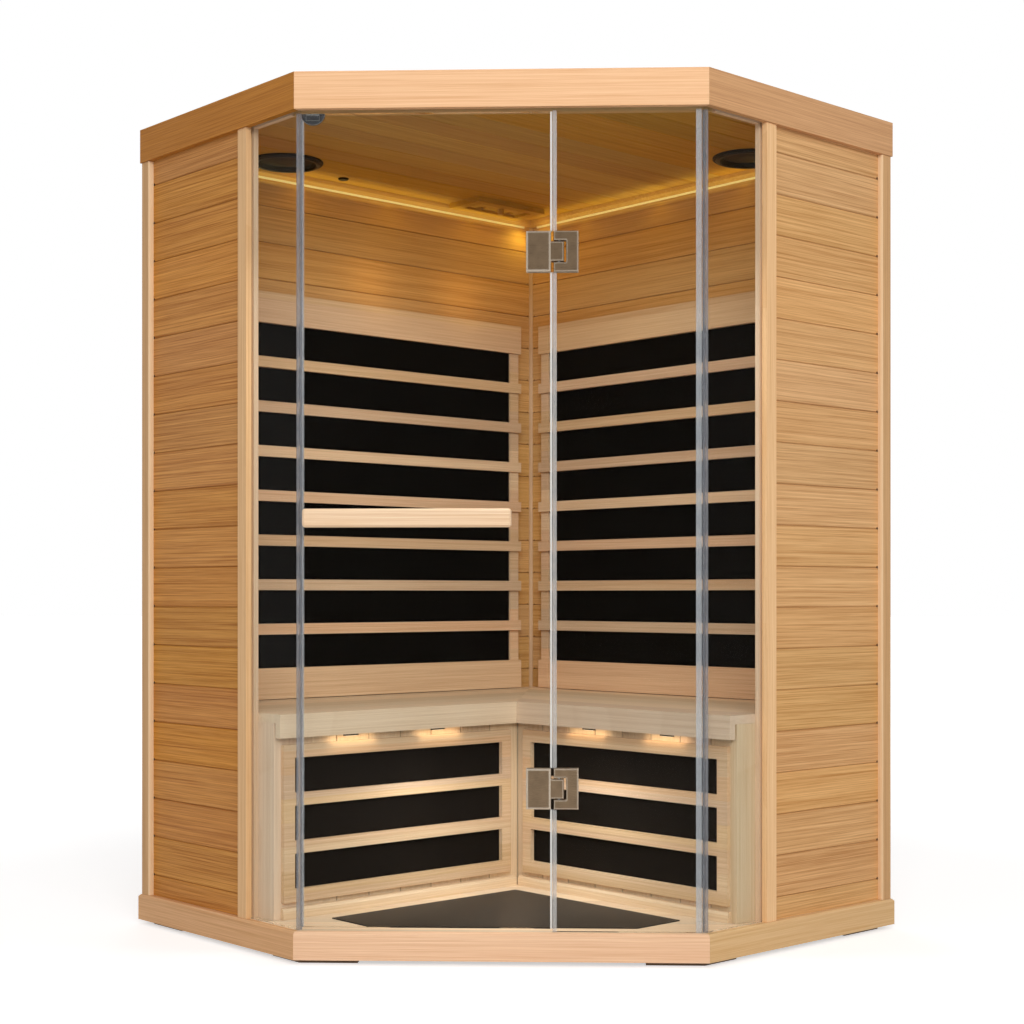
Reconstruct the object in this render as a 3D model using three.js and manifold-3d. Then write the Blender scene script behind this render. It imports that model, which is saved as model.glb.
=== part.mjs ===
// Infrared sauna cabin for the corner of a room.
// Its plan is a square whose front corner is cut off by a glass front.
// Millimetres, +Z up. The glass front faces -Y and the rear corner points to +Y.
// The origin lies on the ground, under the middle of the bounding box.
import * as THREE from "three";
import { mergeVertices } from "three/addons/utils/BufferGeometryUtils.js";
import Module from "manifold-3d";

const wasm = await Module();
wasm.setup();

// Plan. The structure is the square of the siding faces; boards and trims stand proud of it.
const SIDE = 1280;
const FRONT_WIDTH = 899;
const POST_PROUD = 11;
const ROOF_PROUD = 16;
const BASE_PROUD = 19;
const FIT = 0.3;
const BEYOND = 1;

// Heights, from the ground up.
const FOOT_HEIGHT = 42;
const FLOOR_THICKNESS = 30;
const TRIM_LIFT = 10;
const TRIM_CHAMFER = 5;
const ROOM_HEIGHT = 1848;
const CEILING_THICKNESS = 16;
const ROOF_SPACE = 46;
const FASCIA_HEIGHT = 82;
const COVER_THICKNESS = 6;
const COVER_DROP = 2;

// Walls, measured inwards from the structure.
const SIDE_WALL = 24;
const REAR_WALL = 19;
const POST_WIDTH = 34;
const POST_REACH = 452;
const BOARD_WIDTH = 94.6;
const GROOVE_WIDTH = 5;
const GROOVE_DEPTH = 2.5;

// Feet.
const FOOT_INSET = 4;
const FOOT_LENGTH = 130;
const FOOT_SHORT = 104;
const FOOT_WIDTH = 70;
const FOOT_FROM_END = 18;

// Glass.
const GLASS = 8;
const GLASS_SET_BACK = 3;
const GLASS_SEAT = 8;
const GLASS_PLAY = 0.5;
const CORNER_GAP = 8;
const PANE_GAP = 2;

// Door: the joint between the door and the fixed front pane, and the gaps above and below the door.
const JOINT_X = 112.5;
const JOINT_GAP = 2;
const DOOR_BOTTOM_GAP = 7;
const DOOR_TOP_GAP = 7;
const HEADER_HEIGHT = 40;
const HEADER_DEPTH = 20;

// Hinges.
const HINGE_INSET = 308;
const HINGE_HEIGHT = 90;
const HINGE_LEAF = 54.5;
const HINGE_GAP = 6;
const HINGE_PLATE = 6;
const HINGE_BEVEL = 1.5;
const TONGUE_LENGTH = 28.5;
const TONGUE_HEIGHT = 43;
const TONGUE_PLAY = 2.5;
const NOTCH_PLAY = 5;
const DOOR_WEB = 22;
const FIXED_WEB = 17;
const FIXED_WEB_HEIGHT = 72;
const PIVOT_FROM_JOINT = 15;
const PIN_RADIUS = 4;
const PIN_CLEARANCE = 0.1;
const PIN_RECESS = 1;

// Handle, strike and catch.
const HANDLE_LENGTH = 459;
const HANDLE_HEIGHT = 41;
const HANDLE_DEPTH = 18;
const HANDLE_GAP = 22;
const HANDLE_INSET = 5.5;
const HANDLE_LEVEL = 910;
const HANDLE_ROUND = 7;
const HANDLE_BEVEL = 4;
const PEG_RADIUS = 10;
const PEG_INSET = 32;
const STRIKE_LENGTH = 30;
const STRIKE_HEIGHT = 12;
const STRIKE_THICKNESS = 2;
const STRIKE_DROP = 1;
const CATCH_RADIUS = 27.5;
const CATCH_THICKNESS = 6;
const CATCH_DROP = 25;
const CATCH_FROM_EDGE = 6;

// Bench.
const SEAT_LEVEL = 470;
const SEAT_DEPTH = 520;
const SEAT_THICKNESS = 20;
const SEAT_EDGE = 18;
const SEAT_EDGE_HEIGHT = 54;
const BENCH_SET_BACK = 25;
const BENCH_BOARD = 18;
const LAMP_FROM_CORNER = [266, 529];
const LAMP_WIDTH = 40;
const LAMP_DROP = 5;
const LAMP_RAIL = 14;
const LAMP_MARGIN = 60;

// Leg heaters and their framed grilles.
const LEG_FRAME_LEVEL = 38;
const LEG_FRAME_NEAR = 33;
const LEG_FRAME_FAR = 20;
const LEG_FRAME = 30;
const LEG_FRAME_THICKNESS = 12;
const LEG_SLAT = 29;
const LEG_BAND = 81;
const LEG_BANDS = 3;
const LEG_CUT_MARGIN = 8;
const LEG_HEATER = 10;
const LEG_HEATER_RECESS = 3;

// Rear heaters and their slatted grilles.
const GRILLE_ABOVE_SEAT = 2;
const GRILLE_NEAR = 71.5;
const GRILLE_FAR = 106;
const RAIL_HEIGHT = 80;
const SLAT_HEIGHT = 28;
const SLAT_THICKNESS = 12;
const BAND_HEIGHT = 87;
const BANDS = 8;
const STILE_WIDTH = 32.5;
const STILE_INSET = 3;
const STILE_DEPTH = 24;
const HEATER_THICKNESS = 22;
const HEATER_MARGIN = 30;

// Floor heater.
const FLOOR_HEATER_BACK = 66;
const FLOOR_HEATER_SIDE = 138;
const FLOOR_HEATER_FRONT = 46;
const FLOOR_HEATER_THICKNESS = 8;
const FLOOR_POCKET = 6;

// Ceiling fittings, placed from the inner rear corner along and away from the left rear wall.
const CROWN_HEIGHT = 20;
const CROWN_DEPTH = 11;
const SPEAKER_PLACE = [936, 105];
const SPEAKER_RADIUS = 92;
const SPEAKER_BASKET = 76;
const SPEAKER_FLANGE = 6;
const SPEAKER_DEPTH = 22;
const SENSOR_PLACE = [725, 58];
const SENSOR_RADIUS = 14;
const SENSOR_STEM = 9;
const SENSOR_FLANGE = 4;
const VENT_PLACE = [84, 23];
const VENT_LENGTH = 247;
const VENT_WIDTH = 127;
const VENT_DEPTH = 14;
const VENT_BORDER = 28;
const VENT_RIM = 12;
const SLIDE_THICKNESS = 6;
const SLIDE_PLAY = 0.5;
const SLIDE_TRAVEL = 25;
const SLOT_LENGTH = 22;
const SLOT_WIDTH = 24;
const SLOT_SPREAD = 104;
const KNOB_RADIUS = 9;
const KNOB_HEIGHT = 16;

// Electrics.
const POWER_BOX = [280, 160, 20];
const POWER_FROM_REAR = 560;
const GLAND_RADIUS = 8;
const GLAND_LENGTH = 24;
const CONTROL_SIZE = [150, 96, 9];
const CONTROL_LEVEL = 1220;
const CONTROL_FROM_REAR = 230;
const CONTROL_BEVEL = 2;

// Values that follow from the sizes above.
const DIAGONAL = Math.SQRT2;
const FRONT_DEPTH = SIDE * DIAGONAL - FRONT_WIDTH / 2;
const FLOOR_TOP = FOOT_HEIGHT + FLOOR_THICKNESS;
const CEILING = FLOOR_TOP + ROOM_HEIGHT;
const ROOF_TOP = CEILING + ROOF_SPACE;
const FASCIA_BOTTOM = ROOF_TOP - FASCIA_HEIGHT;
const WALL_BOTTOM = FLOOR_TOP + FIT;
const WALL_TOP = CEILING - FIT;
const SIDE_INNER = SIDE - SIDE_WALL;
const POST_BACK = POST_REACH - POST_WIDTH;
const GLASS_INNER = GLASS_SET_BACK + GLASS;
const ROUND = 48;

// Solids.

function solidFrom(geometry) {
  const bare = new THREE.BufferGeometry();
  bare.setAttribute("position", geometry.getAttribute("position"));
  bare.setIndex(geometry.index);
  const merged = mergeVertices(bare, 1e-4);
  const corners = merged.index.array;
  const kept = [];
  for (let i = 0; i < corners.length; i += 3) {
    const [a, b, c] = corners.slice(i, i + 3);
    if (a !== b && b !== c && c !== a) kept.push(a, b, c);
  }
  return new wasm.Manifold(
    new wasm.Mesh({
      numProp: 3,
      vertProperties: merged.getAttribute("position").array,
      triVerts: new Uint32Array(kept),
    }),
  );
}

function geometryFrom(solid) {
  const mesh = solid.getMesh();
  const geometry = new THREE.BufferGeometry();
  const positions = new Float32Array(mesh.vertProperties);
  geometry.setAttribute("position", new THREE.BufferAttribute(positions, 3));
  geometry.setIndex(new THREE.BufferAttribute(new Uint32Array(mesh.triVerts), 1));
  geometry.computeVertexNormals();
  return geometry;
}

const join = (first, ...others) => others.reduce((whole, next) => whole.add(next), first);
const cut = (first, ...others) => others.reduce((whole, next) => whole.subtract(next), first);

function shapeOf(points) {
  return new THREE.Shape(points.map(([x, y]) => new THREE.Vector2(x, y)));
}

// An upright prism over a plan outline.
function upright(points, bottom, top) {
  const settings = { depth: top - bottom, bevelEnabled: false };
  const geometry = new THREE.ExtrudeGeometry(shapeOf(points), settings);
  geometry.translate(0, 0, bottom);
  return solidFrom(geometry);
}

function block([x0, x1], [y0, y1], [z0, z1]) {
  const plan = [
    [x0, y0],
    [x1, y0],
    [x1, y1],
    [x0, y1],
  ];
  return upright(plan, z0, z1);
}

// A bar along the straight run between two plan points.
// Its section is [out, height], with out measured to the left of the run.
function along(section, from, to) {
  const run = new THREE.Vector3(to[0] - from[0], to[1] - from[1], 0);
  const length = run.length();
  run.normalize();
  const out = new THREE.Vector3(-run.y, run.x, 0);
  const up = new THREE.Vector3(0, 0, 1);
  const settings = { depth: length, bevelEnabled: false };
  const geometry = new THREE.ExtrudeGeometry(shapeOf(section), settings);
  const place = new THREE.Matrix4().makeBasis(out, up, run);
  geometry.applyMatrix4(place.setPosition(from[0], from[1], 0));
  return solidFrom(geometry);
}

// A plate that faces the front: an outline in X and Z, from a front plane to a back plane.
// Its edges can be bevelled.
function facing(shape, front, back, bevel = 0) {
  const geometry = new THREE.ExtrudeGeometry(shape, {
    depth: back - front - 2 * bevel,
    bevelEnabled: bevel > 0,
    bevelThickness: bevel,
    bevelSize: bevel,
    bevelOffset: -bevel,
    bevelSegments: 1,
  });
  geometry.rotateX(Math.PI / 2);
  geometry.translate(0, back - bevel, 0);
  return solidFrom(geometry);
}

function roundedRectangle([x0, x1], [y0, y1], radius) {
  const shape = new THREE.Shape();
  shape.moveTo(x0 + radius, y0);
  shape.lineTo(x1 - radius, y0);
  shape.absarc(x1 - radius, y0 + radius, radius, -Math.PI / 2, 0);
  shape.lineTo(x1, y1 - radius);
  shape.absarc(x1 - radius, y1 - radius, radius, 0, Math.PI / 2);
  shape.lineTo(x0 + radius, y1);
  shape.absarc(x0 + radius, y1 - radius, radius, Math.PI / 2, Math.PI);
  shape.lineTo(x0, y0 + radius);
  shape.absarc(x0 + radius, y0 + radius, radius, Math.PI, 1.5 * Math.PI);
  return shape;
}

// An upright round bar at a plan point.
function drum(radius, bottom, top, [x, y]) {
  const geometry = new THREE.CylinderGeometry(radius, radius, top - bottom, ROUND);
  geometry.rotateX(Math.PI / 2);
  geometry.translate(x, y, (bottom + top) / 2);
  return solidFrom(geometry);
}

// A turned piece about an upright axis.
// Its profile is [radius, height], from the axis round to the axis.
function turned(profile, [x, y]) {
  const geometry = new THREE.LatheGeometry(
    profile.map(([r, z]) => new THREE.Vector2(r, z)),
    ROUND,
  );
  geometry.rotateX(Math.PI / 2);
  geometry.translate(x, y, 0);
  return solidFrom(geometry);
}

// A flat face of boards: points along it, from low to high, with a groove at each joint.
// The joints are counted from start, and inwards is the direction of the grooves.
function boardFace(face, inwards, low, high, start) {
  const points = [[face, low]];
  const half = GROOVE_WIDTH / 2;
  const first = Math.ceil((low + GROOVE_WIDTH - start) / BOARD_WIDTH);
  for (let joint = start + first * BOARD_WIDTH; joint < high - GROOVE_WIDTH; joint += BOARD_WIDTH) {
    points.push([face, joint - half], [face + inwards * GROOVE_DEPTH, joint], [face, joint + half]);
  }
  points.push([face, high]);
  return points;
}

// Plan points. A point of a wing is [a, b]:
// a runs along the rear wall from the rear corner, b away from that wall.

function leftPoint([a, b]) {
  return [(b - a) / DIAGONAL, -(a + b) / DIAGONAL];
}

function mirrored([x, y]) {
  return [-x, y];
}

// The five corners of the cabin, moved outwards:
// front left, left end, rear, right end, front right.
function outline(out) {
  const side = SIDE + out;
  const frontLeft = leftPoint([side, DIAGONAL * (FRONT_DEPTH + out) - side]);
  const leftEnd = leftPoint([side, -out]);
  const rear = leftPoint([-out, -out]);
  return [frontLeft, leftEnd, rear, mirrored(leftEnd), mirrored(frontLeft)];
}

// A board round the cabin, through some corners of its outline and mitred at both ends.
function outlineBoard(corners, inner, outer, bottom, top) {
  const row = (out) => {
    const points = corners.map((corner) => new THREE.Vector2(...outline(out)[corner]));
    const [first, second] = points;
    const [beforeLast, last] = points.slice(-2);
    const start = second.clone().sub(first).setLength(FIT / 2);
    const end = beforeLast.clone().sub(last).setLength(FIT / 2);
    first.add(start);
    last.add(end);
    return points.map((point) => point.toArray());
  };
  return upright([...row(inner), ...row(outer).reverse()], bottom, top);
}

// The cutter that takes the outer top edge off an outline board.
function edgeChamfer(edge, out, top, size) {
  const corners = outline(out);
  const from = new THREE.Vector2(...corners[edge]);
  const to = new THREE.Vector2(...corners[(edge + 1) % 5]);
  const beyond = to.clone().sub(from).setLength(2 * size);
  from.sub(beyond);
  to.add(beyond);
  const section = [
    [-size, top],
    [0, top - size],
    [size, top],
    [0, top + size],
  ];
  return along(section, [from.x, from.y], [to.x, to.y]);
}

// Groups and finishes.

const root = new THREE.Group();
root.name = "infrared_sauna_cabin";
const cabin = new THREE.Group();
root.add(cabin);

function makeWing(mirror) {
  const half = new THREE.Group();
  half.scale.x = mirror ? -1 : 1;
  const wing = new THREE.Group();
  wing.rotation.z = (5 * Math.PI) / 4;
  half.add(wing);
  cabin.add(half);
  return wing;
}

const leftWing = makeWing(false);
const rightWing = makeWing(true);

const SIDING = { color: 0xc08a55, roughness: 0.6 };
const PALE_WOOD = { color: 0xe3c29a, roughness: 0.65 };
const HEATER = { color: 0x171513, roughness: 0.7 };
const METAL = { color: 0x9a958f, roughness: 0.35, metalness: 0.9 };
const DARK = { color: 0x1d1d1f, roughness: 0.5 };
const CLEAR = { color: 0xd5e2e4, roughness: 0.05, transparent: true, opacity: 0.3 };

function piece(group, name, solid, finish) {
  const mesh = new THREE.Mesh(geometryFrom(solid), new THREE.MeshStandardMaterial(finish));
  mesh.name = name;
  group.add(mesh);
}

// Base.

// Boards round the outline, by the corners that they run through.
const baseBoards = { left: [0, 1], rear: [1, 2, 3], right: [3, 4], front: [4, 0] };
const roofBoards = {
  left: [0, 1],
  rear_left: [1, 2],
  rear_right: [2, 3],
  right: [3, 4],
  front: [4, 0],
};

for (const [name, corners] of Object.entries(baseBoards)) {
  const board = outlineBoard(corners, FIT, BASE_PROUD, TRIM_LIFT, FLOOR_TOP);
  const edges = corners.slice(0, -1);
  const chamfers = edges.map((edge) => edgeChamfer(edge, BASE_PROUD, FLOOR_TOP, TRIM_CHAMFER));
  piece(cabin, `base_trim_${name}`, cut(board, ...chamfers), PALE_WOOD);
}

const benchFace = REAR_WALL + SEAT_DEPTH - BENCH_SET_BACK;

function floorHeaterPlan(margin) {
  const back = benchFace + FLOOR_HEATER_BACK - margin;
  const side = SIDE - FLOOR_HEATER_SIDE + margin;
  const frontSum = DIAGONAL * (FRONT_DEPTH - FLOOR_HEATER_FRONT + margin);
  const frontLeft = leftPoint([side, frontSum - side]);
  const leftTip = leftPoint([side, back]);
  return [frontLeft, leftTip, leftPoint([back, back]), mirrored(leftTip), mirrored(frontLeft)];
}

const floorPocket = upright(floorHeaterPlan(FIT), FLOOR_TOP - FLOOR_POCKET, FLOOR_TOP + BEYOND);
const floorBoard = upright(outline(0), FOOT_HEIGHT, FLOOR_TOP);
piece(cabin, "floor_panel", cut(floorBoard, floorPocket), PALE_WOOD);
const floorHeaterBottom = FLOOR_TOP - FLOOR_POCKET + FIT;
const floorHeaterTop = floorHeaterBottom + FLOOR_HEATER_THICKNESS;
const floorHeater = upright(floorHeaterPlan(0), floorHeaterBottom, floorHeaterTop);
piece(cabin, "floor_heater", floorHeater, HEATER);

// Roof.

for (const [name, corners] of Object.entries(roofBoards)) {
  const board = outlineBoard(corners, FIT, ROOF_PROUD, FASCIA_BOTTOM, ROOF_TOP);
  piece(cabin, `roof_fascia_${name}`, board, PALE_WOOD);
}

const coverTop = ROOF_TOP - COVER_DROP;
const coverBottom = coverTop - COVER_THICKNESS;
piece(cabin, "roof_cover", upright(outline(0), coverBottom, coverTop), PALE_WOOD);

const powerBottom = CEILING + CEILING_THICKNESS + FIT;
const powerBack = -POWER_FROM_REAR;
const powerBox = block(
  [-POWER_BOX[0] / 2, POWER_BOX[0] / 2],
  [powerBack - POWER_BOX[1], powerBack],
  [powerBottom, powerBottom + POWER_BOX[2]],
);
const glandGeometry = new THREE.CylinderGeometry(
  GLAND_RADIUS,
  GLAND_RADIUS,
  2 * GLAND_LENGTH,
  ROUND,
);
glandGeometry.translate(0, powerBack, powerBottom + POWER_BOX[2] / 2);
piece(cabin, "power_supply", join(powerBox, solidFrom(glandGeometry)), DARK);

// Places of the ceiling fittings in wing coordinates.
const fromInnerCorner = ([a, b]) => [REAR_WALL + a, REAR_WALL + b];
const speakerPlace = fromInnerCorner(SPEAKER_PLACE);
const sensorPlace = fromInnerCorner(SENSOR_PLACE);
const ventPlace = fromInnerCorner(VENT_PLACE);
const ventMiddle = [ventPlace[0] + VENT_LENGTH / 2, ventPlace[1] + VENT_WIDTH / 2];

const slideLength = VENT_LENGTH - 2 * VENT_RIM - 2 * SLIDE_PLAY - SLIDE_TRAVEL;
const slideStart = ventPlace[0] + VENT_RIM + SLIDE_PLAY;
const slideMiddle = slideStart + slideLength / 2;
const slotRow = VENT_WIDTH / 2 - VENT_BORDER - SLOT_WIDTH / 2;
const slotPlaces = [-1, 1].flatMap((column) =>
  [-1, 1].map((row) => [slideMiddle + (column * SLOT_SPREAD) / 2, ventMiddle[1] + row * slotRow]),
);

function slotPlan([a, b], shift) {
  const halfLength = SLOT_LENGTH / 2;
  const halfWidth = SLOT_WIDTH / 2;
  return [
    [a + shift - halfLength, b - halfWidth],
    [a + shift + halfLength, b - halfWidth],
    [a + shift + halfLength, b + halfWidth],
    [a + shift - halfLength, b + halfWidth],
  ];
}

// The ceiling boards run along the left rear wall, with their joints on the lower face.
const ceilingTop = CEILING + CEILING_THICKNESS;
const ceilingReach = SIDE + BOARD_WIDTH;
const ceilingFace = boardFace(CEILING, 1, -ceilingReach, BOARD_WIDTH, -REAR_WALL);
const ceilingSection = ceilingFace.map(([z, out]) => [out, z]);
ceilingSection.push([BOARD_WIDTH, ceilingTop], [-ceilingReach, ceilingTop]);
const ceilingBoards = along(
  ceilingSection,
  leftPoint([ceilingReach, 0]),
  leftPoint([-BOARD_WIDTH, 0]),
);
const belowCeiling = CEILING - BEYOND;
const aboveCeiling = ceilingTop + BEYOND;
const ceilingPanel = ceilingBoards.intersect(upright(outline(0), belowCeiling, aboveCeiling));
const ceilingHoles = [
  drum(SPEAKER_BASKET + FIT, belowCeiling, aboveCeiling, leftPoint(speakerPlace)),
  drum(SPEAKER_BASKET + FIT, belowCeiling, aboveCeiling, mirrored(leftPoint(speakerPlace))),
  drum(SENSOR_STEM + FIT, belowCeiling, aboveCeiling, leftPoint(sensorPlace)),
  ...slotPlaces.map((place) => {
    const plan = slotPlan(place, SLIDE_TRAVEL).map(leftPoint);
    return upright(plan, belowCeiling, aboveCeiling);
  }),
];
piece(cabin, "ceiling_panel", cut(ceilingPanel, ...ceilingHoles), PALE_WOOD);

// Crown moulding along both rear walls, in one piece with its corner.
const crownWall = REAR_WALL + FIT;
const crownSection = [
  [0, WALL_TOP],
  [-CROWN_DEPTH, WALL_TOP],
  [-CROWN_DEPTH, WALL_TOP - CROWN_HEIGHT / 2],
  [-CROWN_DEPTH / 2, WALL_TOP - CROWN_HEIGHT],
  [0, WALL_TOP - CROWN_HEIGHT],
];
const crownEnd = leftPoint([SIDE_INNER - FIT, crownWall]);
const crownCorner = leftPoint([crownWall, crownWall]);
const leftCrown = along(crownSection, crownEnd, crownCorner);
const rightCrown = along(crownSection, crownCorner, mirrored(crownEnd));
piece(cabin, "ceiling_crown", join(leftCrown, rightCrown), PALE_WOOD);

// Front. Depths are measured back from the structure's front face.

const depth = (d) => -FRONT_DEPTH + d;
const glassFront = depth(GLASS_SET_BACK);
const glassBack = depth(GLASS_INNER);
const glassMiddle = (glassFront + glassBack) / 2;
const frontCornerX = mirrored(outline(-GLASS_SET_BACK)[0])[0];
const paneEnd = frontCornerX - CORNER_GAP;
const doorLeft = -paneEnd;
const doorRight = JOINT_X - JOINT_GAP / 2;
const fixedLeft = JOINT_X + JOINT_GAP / 2;
const doorBottom = FLOOR_TOP + DOOR_BOTTOM_GAP;
const doorTop = FASCIA_BOTTOM - DOOR_TOP_GAP;
const hingeLevels = { lower: doorBottom + HINGE_INSET, upper: doorTop - HINGE_INSET };

const doorLeafEdge = JOINT_X - HINGE_GAP / 2;
const fixedLeafEdge = JOINT_X + HINGE_GAP / 2;
const tongueEnd = doorLeafEdge + TONGUE_LENGTH;
const notchEnd = tongueEnd + NOTCH_PLAY;
const fixedWebEnd = notchEnd + FIXED_WEB;
const doorWebStart = doorLeafEdge - DOOR_WEB;
const notchHeight = TONGUE_HEIGHT + 2 * TONGUE_PLAY;
const pivot = [JOINT_X + PIVOT_FROM_JOINT, glassMiddle];
const levelBand = (level, height) => [level - height / 2, level + height / 2];

// The panes are notched where the hinge leaves pass through them.
const doorNotches = Object.values(hingeLevels).map((level) =>
  block(
    [doorWebStart - GLASS_PLAY, doorRight + BEYOND],
    [glassFront - BEYOND, glassBack + BEYOND],
    levelBand(level, TONGUE_HEIGHT + 2 * GLASS_PLAY),
  ),
);
const fixedNotches = Object.values(hingeLevels).map((level) =>
  block(
    [fixedLeft - BEYOND, fixedWebEnd + GLASS_PLAY],
    [glassFront - BEYOND, glassBack + BEYOND],
    levelBand(level, FIXED_WEB_HEIGHT + 2 * GLASS_PLAY),
  ),
);
const doorPane = block([doorLeft, doorRight], [glassFront, glassBack], [doorBottom, doorTop]);
const frontPane = block([fixedLeft, paneEnd], [glassFront, glassBack], [WALL_BOTTOM, WALL_TOP]);
piece(cabin, "door_pane", cut(doorPane, ...doorNotches), CLEAR);
piece(cabin, "front_pane", cut(frontPane, ...fixedNotches), CLEAR);

for (const [name, level] of Object.entries(hingeLevels)) {
  const [leafLow, leafHigh] = levelBand(level, HINGE_HEIGHT);
  const [tongueLow, tongueHigh] = levelBand(level, TONGUE_HEIGHT);
  const [notchLow, notchHigh] = levelBand(level, notchHeight);
  const outerPlate = [glassFront - FIT - HINGE_PLATE, glassFront - FIT];
  const innerPlate = [glassBack + FIT, glassBack + FIT + HINGE_PLATE];
  const plates = [outerPlate, innerPlate];
  const through = [outerPlate[0] + HINGE_PLATE / 2, innerPlate[1] - HINGE_PLATE / 2];
  const pinHole = drum(PIN_RADIUS + PIN_CLEARANCE, leafLow, leafHigh, pivot);

  const doorLeaf = shapeOf([
    [doorLeafEdge - HINGE_LEAF, leafLow],
    [doorLeafEdge, leafLow],
    [doorLeafEdge, tongueLow],
    [tongueEnd, tongueLow],
    [tongueEnd, tongueHigh],
    [doorLeafEdge, tongueHigh],
    [doorLeafEdge, leafHigh],
    [doorLeafEdge - HINGE_LEAF, leafHigh],
  ]);
  const doorWeb = block([doorWebStart, tongueEnd], through, [tongueLow, tongueHigh]);
  const doorPlates = plates.map(([near, far]) => facing(doorLeaf, near, far, HINGE_BEVEL));
  piece(cabin, `${name}_hinge_door_leaf`, cut(join(doorWeb, ...doorPlates), pinHole), METAL);

  const fixedLeaf = shapeOf([
    [fixedLeafEdge, leafLow],
    [fixedLeafEdge + HINGE_LEAF, leafLow],
    [fixedLeafEdge + HINGE_LEAF, leafHigh],
    [fixedLeafEdge, leafHigh],
    [fixedLeafEdge, notchHigh],
    [notchEnd, notchHigh],
    [notchEnd, notchLow],
    [fixedLeafEdge, notchLow],
  ]);
  const fixedWeb = block([fixedLeafEdge, fixedWebEnd], through, levelBand(level, FIXED_WEB_HEIGHT));
  const fixedNotch = block(
    [fixedLeafEdge - BEYOND, notchEnd],
    [through[0] - BEYOND, through[1] + BEYOND],
    [notchLow, notchHigh],
  );
  const fixedPlates = plates.map(([near, far]) => facing(fixedLeaf, near, far, HINGE_BEVEL));
  const fixedBody = join(cut(fixedWeb, fixedNotch), ...fixedPlates);
  piece(cabin, `${name}_hinge_fixed_leaf`, cut(fixedBody, pinHole), METAL);

  const [pinLow, pinHigh] = levelBand(level, FIXED_WEB_HEIGHT - 2 * PIN_RECESS);
  piece(cabin, `${name}_hinge_pin`, drum(PIN_RADIUS, pinLow, pinHigh, pivot), METAL);
}

// Handle: a bar with rounded ends on two pegs.
const handleStart = doorLeft + HANDLE_INSET;
const handleLow = FLOOR_TOP + HANDLE_LEVEL - HANDLE_HEIGHT / 2;
const handleShape = roundedRectangle(
  [handleStart, handleStart + HANDLE_LENGTH],
  [handleLow, handleLow + HANDLE_HEIGHT],
  HANDLE_ROUND,
);
const handleBack = glassFront - HANDLE_GAP;
const handleBar = facing(handleShape, handleBack - HANDLE_DEPTH, handleBack, HANDLE_BEVEL);
const handlePegs = [handleStart + PEG_INSET, handleStart + HANDLE_LENGTH - PEG_INSET].map((x) => {
  const peg = new THREE.Shape().absarc(x, FLOOR_TOP + HANDLE_LEVEL, PEG_RADIUS, 0, 2 * Math.PI);
  return facing(peg, handleBack - HANDLE_DEPTH / 2, glassFront - FIT);
});
piece(cabin, "door_handle", join(handleBar, ...handlePegs), PALE_WOOD);

// Header behind the top of the glass, its ends against the side panes.
const headerFront = outline(-GLASS_INNER - FIT);
const headerBack = depth(GLASS_INNER + FIT + HEADER_DEPTH);
const headerPlan = [
  headerFront[0],
  headerFront[4],
  [headerFront[4][0] + HEADER_DEPTH, headerBack],
  [headerFront[0][0] - HEADER_DEPTH, headerBack],
];
const headerBottom = CEILING - HEADER_HEIGHT;
piece(cabin, "door_header", upright(headerPlan, headerBottom, WALL_TOP), PALE_WOOD);

// Strike on the inner face of the door, and the catch plate that hangs from the header behind it.
const catchX = doorLeft + CATCH_FROM_EDGE + STRIKE_LENGTH / 2;
const strikeTop = doorTop - STRIKE_DROP;
const strikeBack = glassBack + FIT + STRIKE_THICKNESS;
const strike = block(
  [catchX - STRIKE_LENGTH / 2, catchX + STRIKE_LENGTH / 2],
  [glassBack + FIT, strikeBack],
  [strikeTop - STRIKE_HEIGHT, strikeTop],
);
piece(cabin, "door_strike", strike, METAL);

const catchTop = headerBottom - FIT;
const catchCentre = catchTop - CATCH_DROP + CATCH_RADIUS;
const catchHalf = Math.acos((catchCentre - catchTop) / CATCH_RADIUS);
const catchShape = new THREE.Shape();
const straightDown = -Math.PI / 2;
catchShape.absarc(
  catchX,
  catchCentre,
  CATCH_RADIUS,
  straightDown - catchHalf,
  straightDown + catchHalf,
);
catchShape.closePath();
const catchFront = strikeBack + FIT;
const catchPlate = facing(catchShape, catchFront, catchFront + CATCH_THICKNESS);
piece(cabin, "catch_plate", catchPlate, METAL);

// Wings: what the left and the right half of the cabin have in common, in wing coordinates.

const seatTop = FLOOR_TOP + SEAT_LEVEL;
const seatBottom = seatTop - SEAT_THICKNESS;
const seatFront = REAR_WALL + SEAT_DEPTH;
const wingEnd = SIDE_INNER - FIT;
const otherWing = upright(
  [
    [-SIDE + FIT, -SIDE],
    [SIDE + FIT, SIDE],
    [-SIDE, SIDE],
  ],
  -BEYOND,
  ROOF_TOP + BEYOND,
);

function rearWall() {
  const skinTop = FASCIA_BOTTOM - FIT;
  const inner = boardFace(-REAR_WALL, 1, WALL_BOTTOM, WALL_TOP, CEILING);
  const outer = boardFace(POST_PROUD, -1, WALL_BOTTOM, skinTop, CEILING);
  const section = [...inner, [0, WALL_TOP], [0, skinTop], ...outer.reverse()];
  const wall = along(section, [SIDE + POST_PROUD, 0], [-POST_PROUD, 0]);
  const roofNotch = block(
    [SIDE, SIDE + 2 * POST_PROUD],
    [-POST_PROUD, 2 * REAR_WALL],
    [skinTop, ROOF_TOP],
  );
  return cut(wall, roofNotch, otherWing);
}

function sideWall() {
  const inner = boardFace(-SIDE_WALL, 1, WALL_BOTTOM, WALL_TOP, CEILING);
  const outer = boardFace(0, -1, WALL_BOTTOM, WALL_TOP, CEILING);
  return along([...inner, ...outer.reverse()], [SIDE, POST_BACK - FIT], [SIDE, REAR_WALL + FIT]);
}

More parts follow.
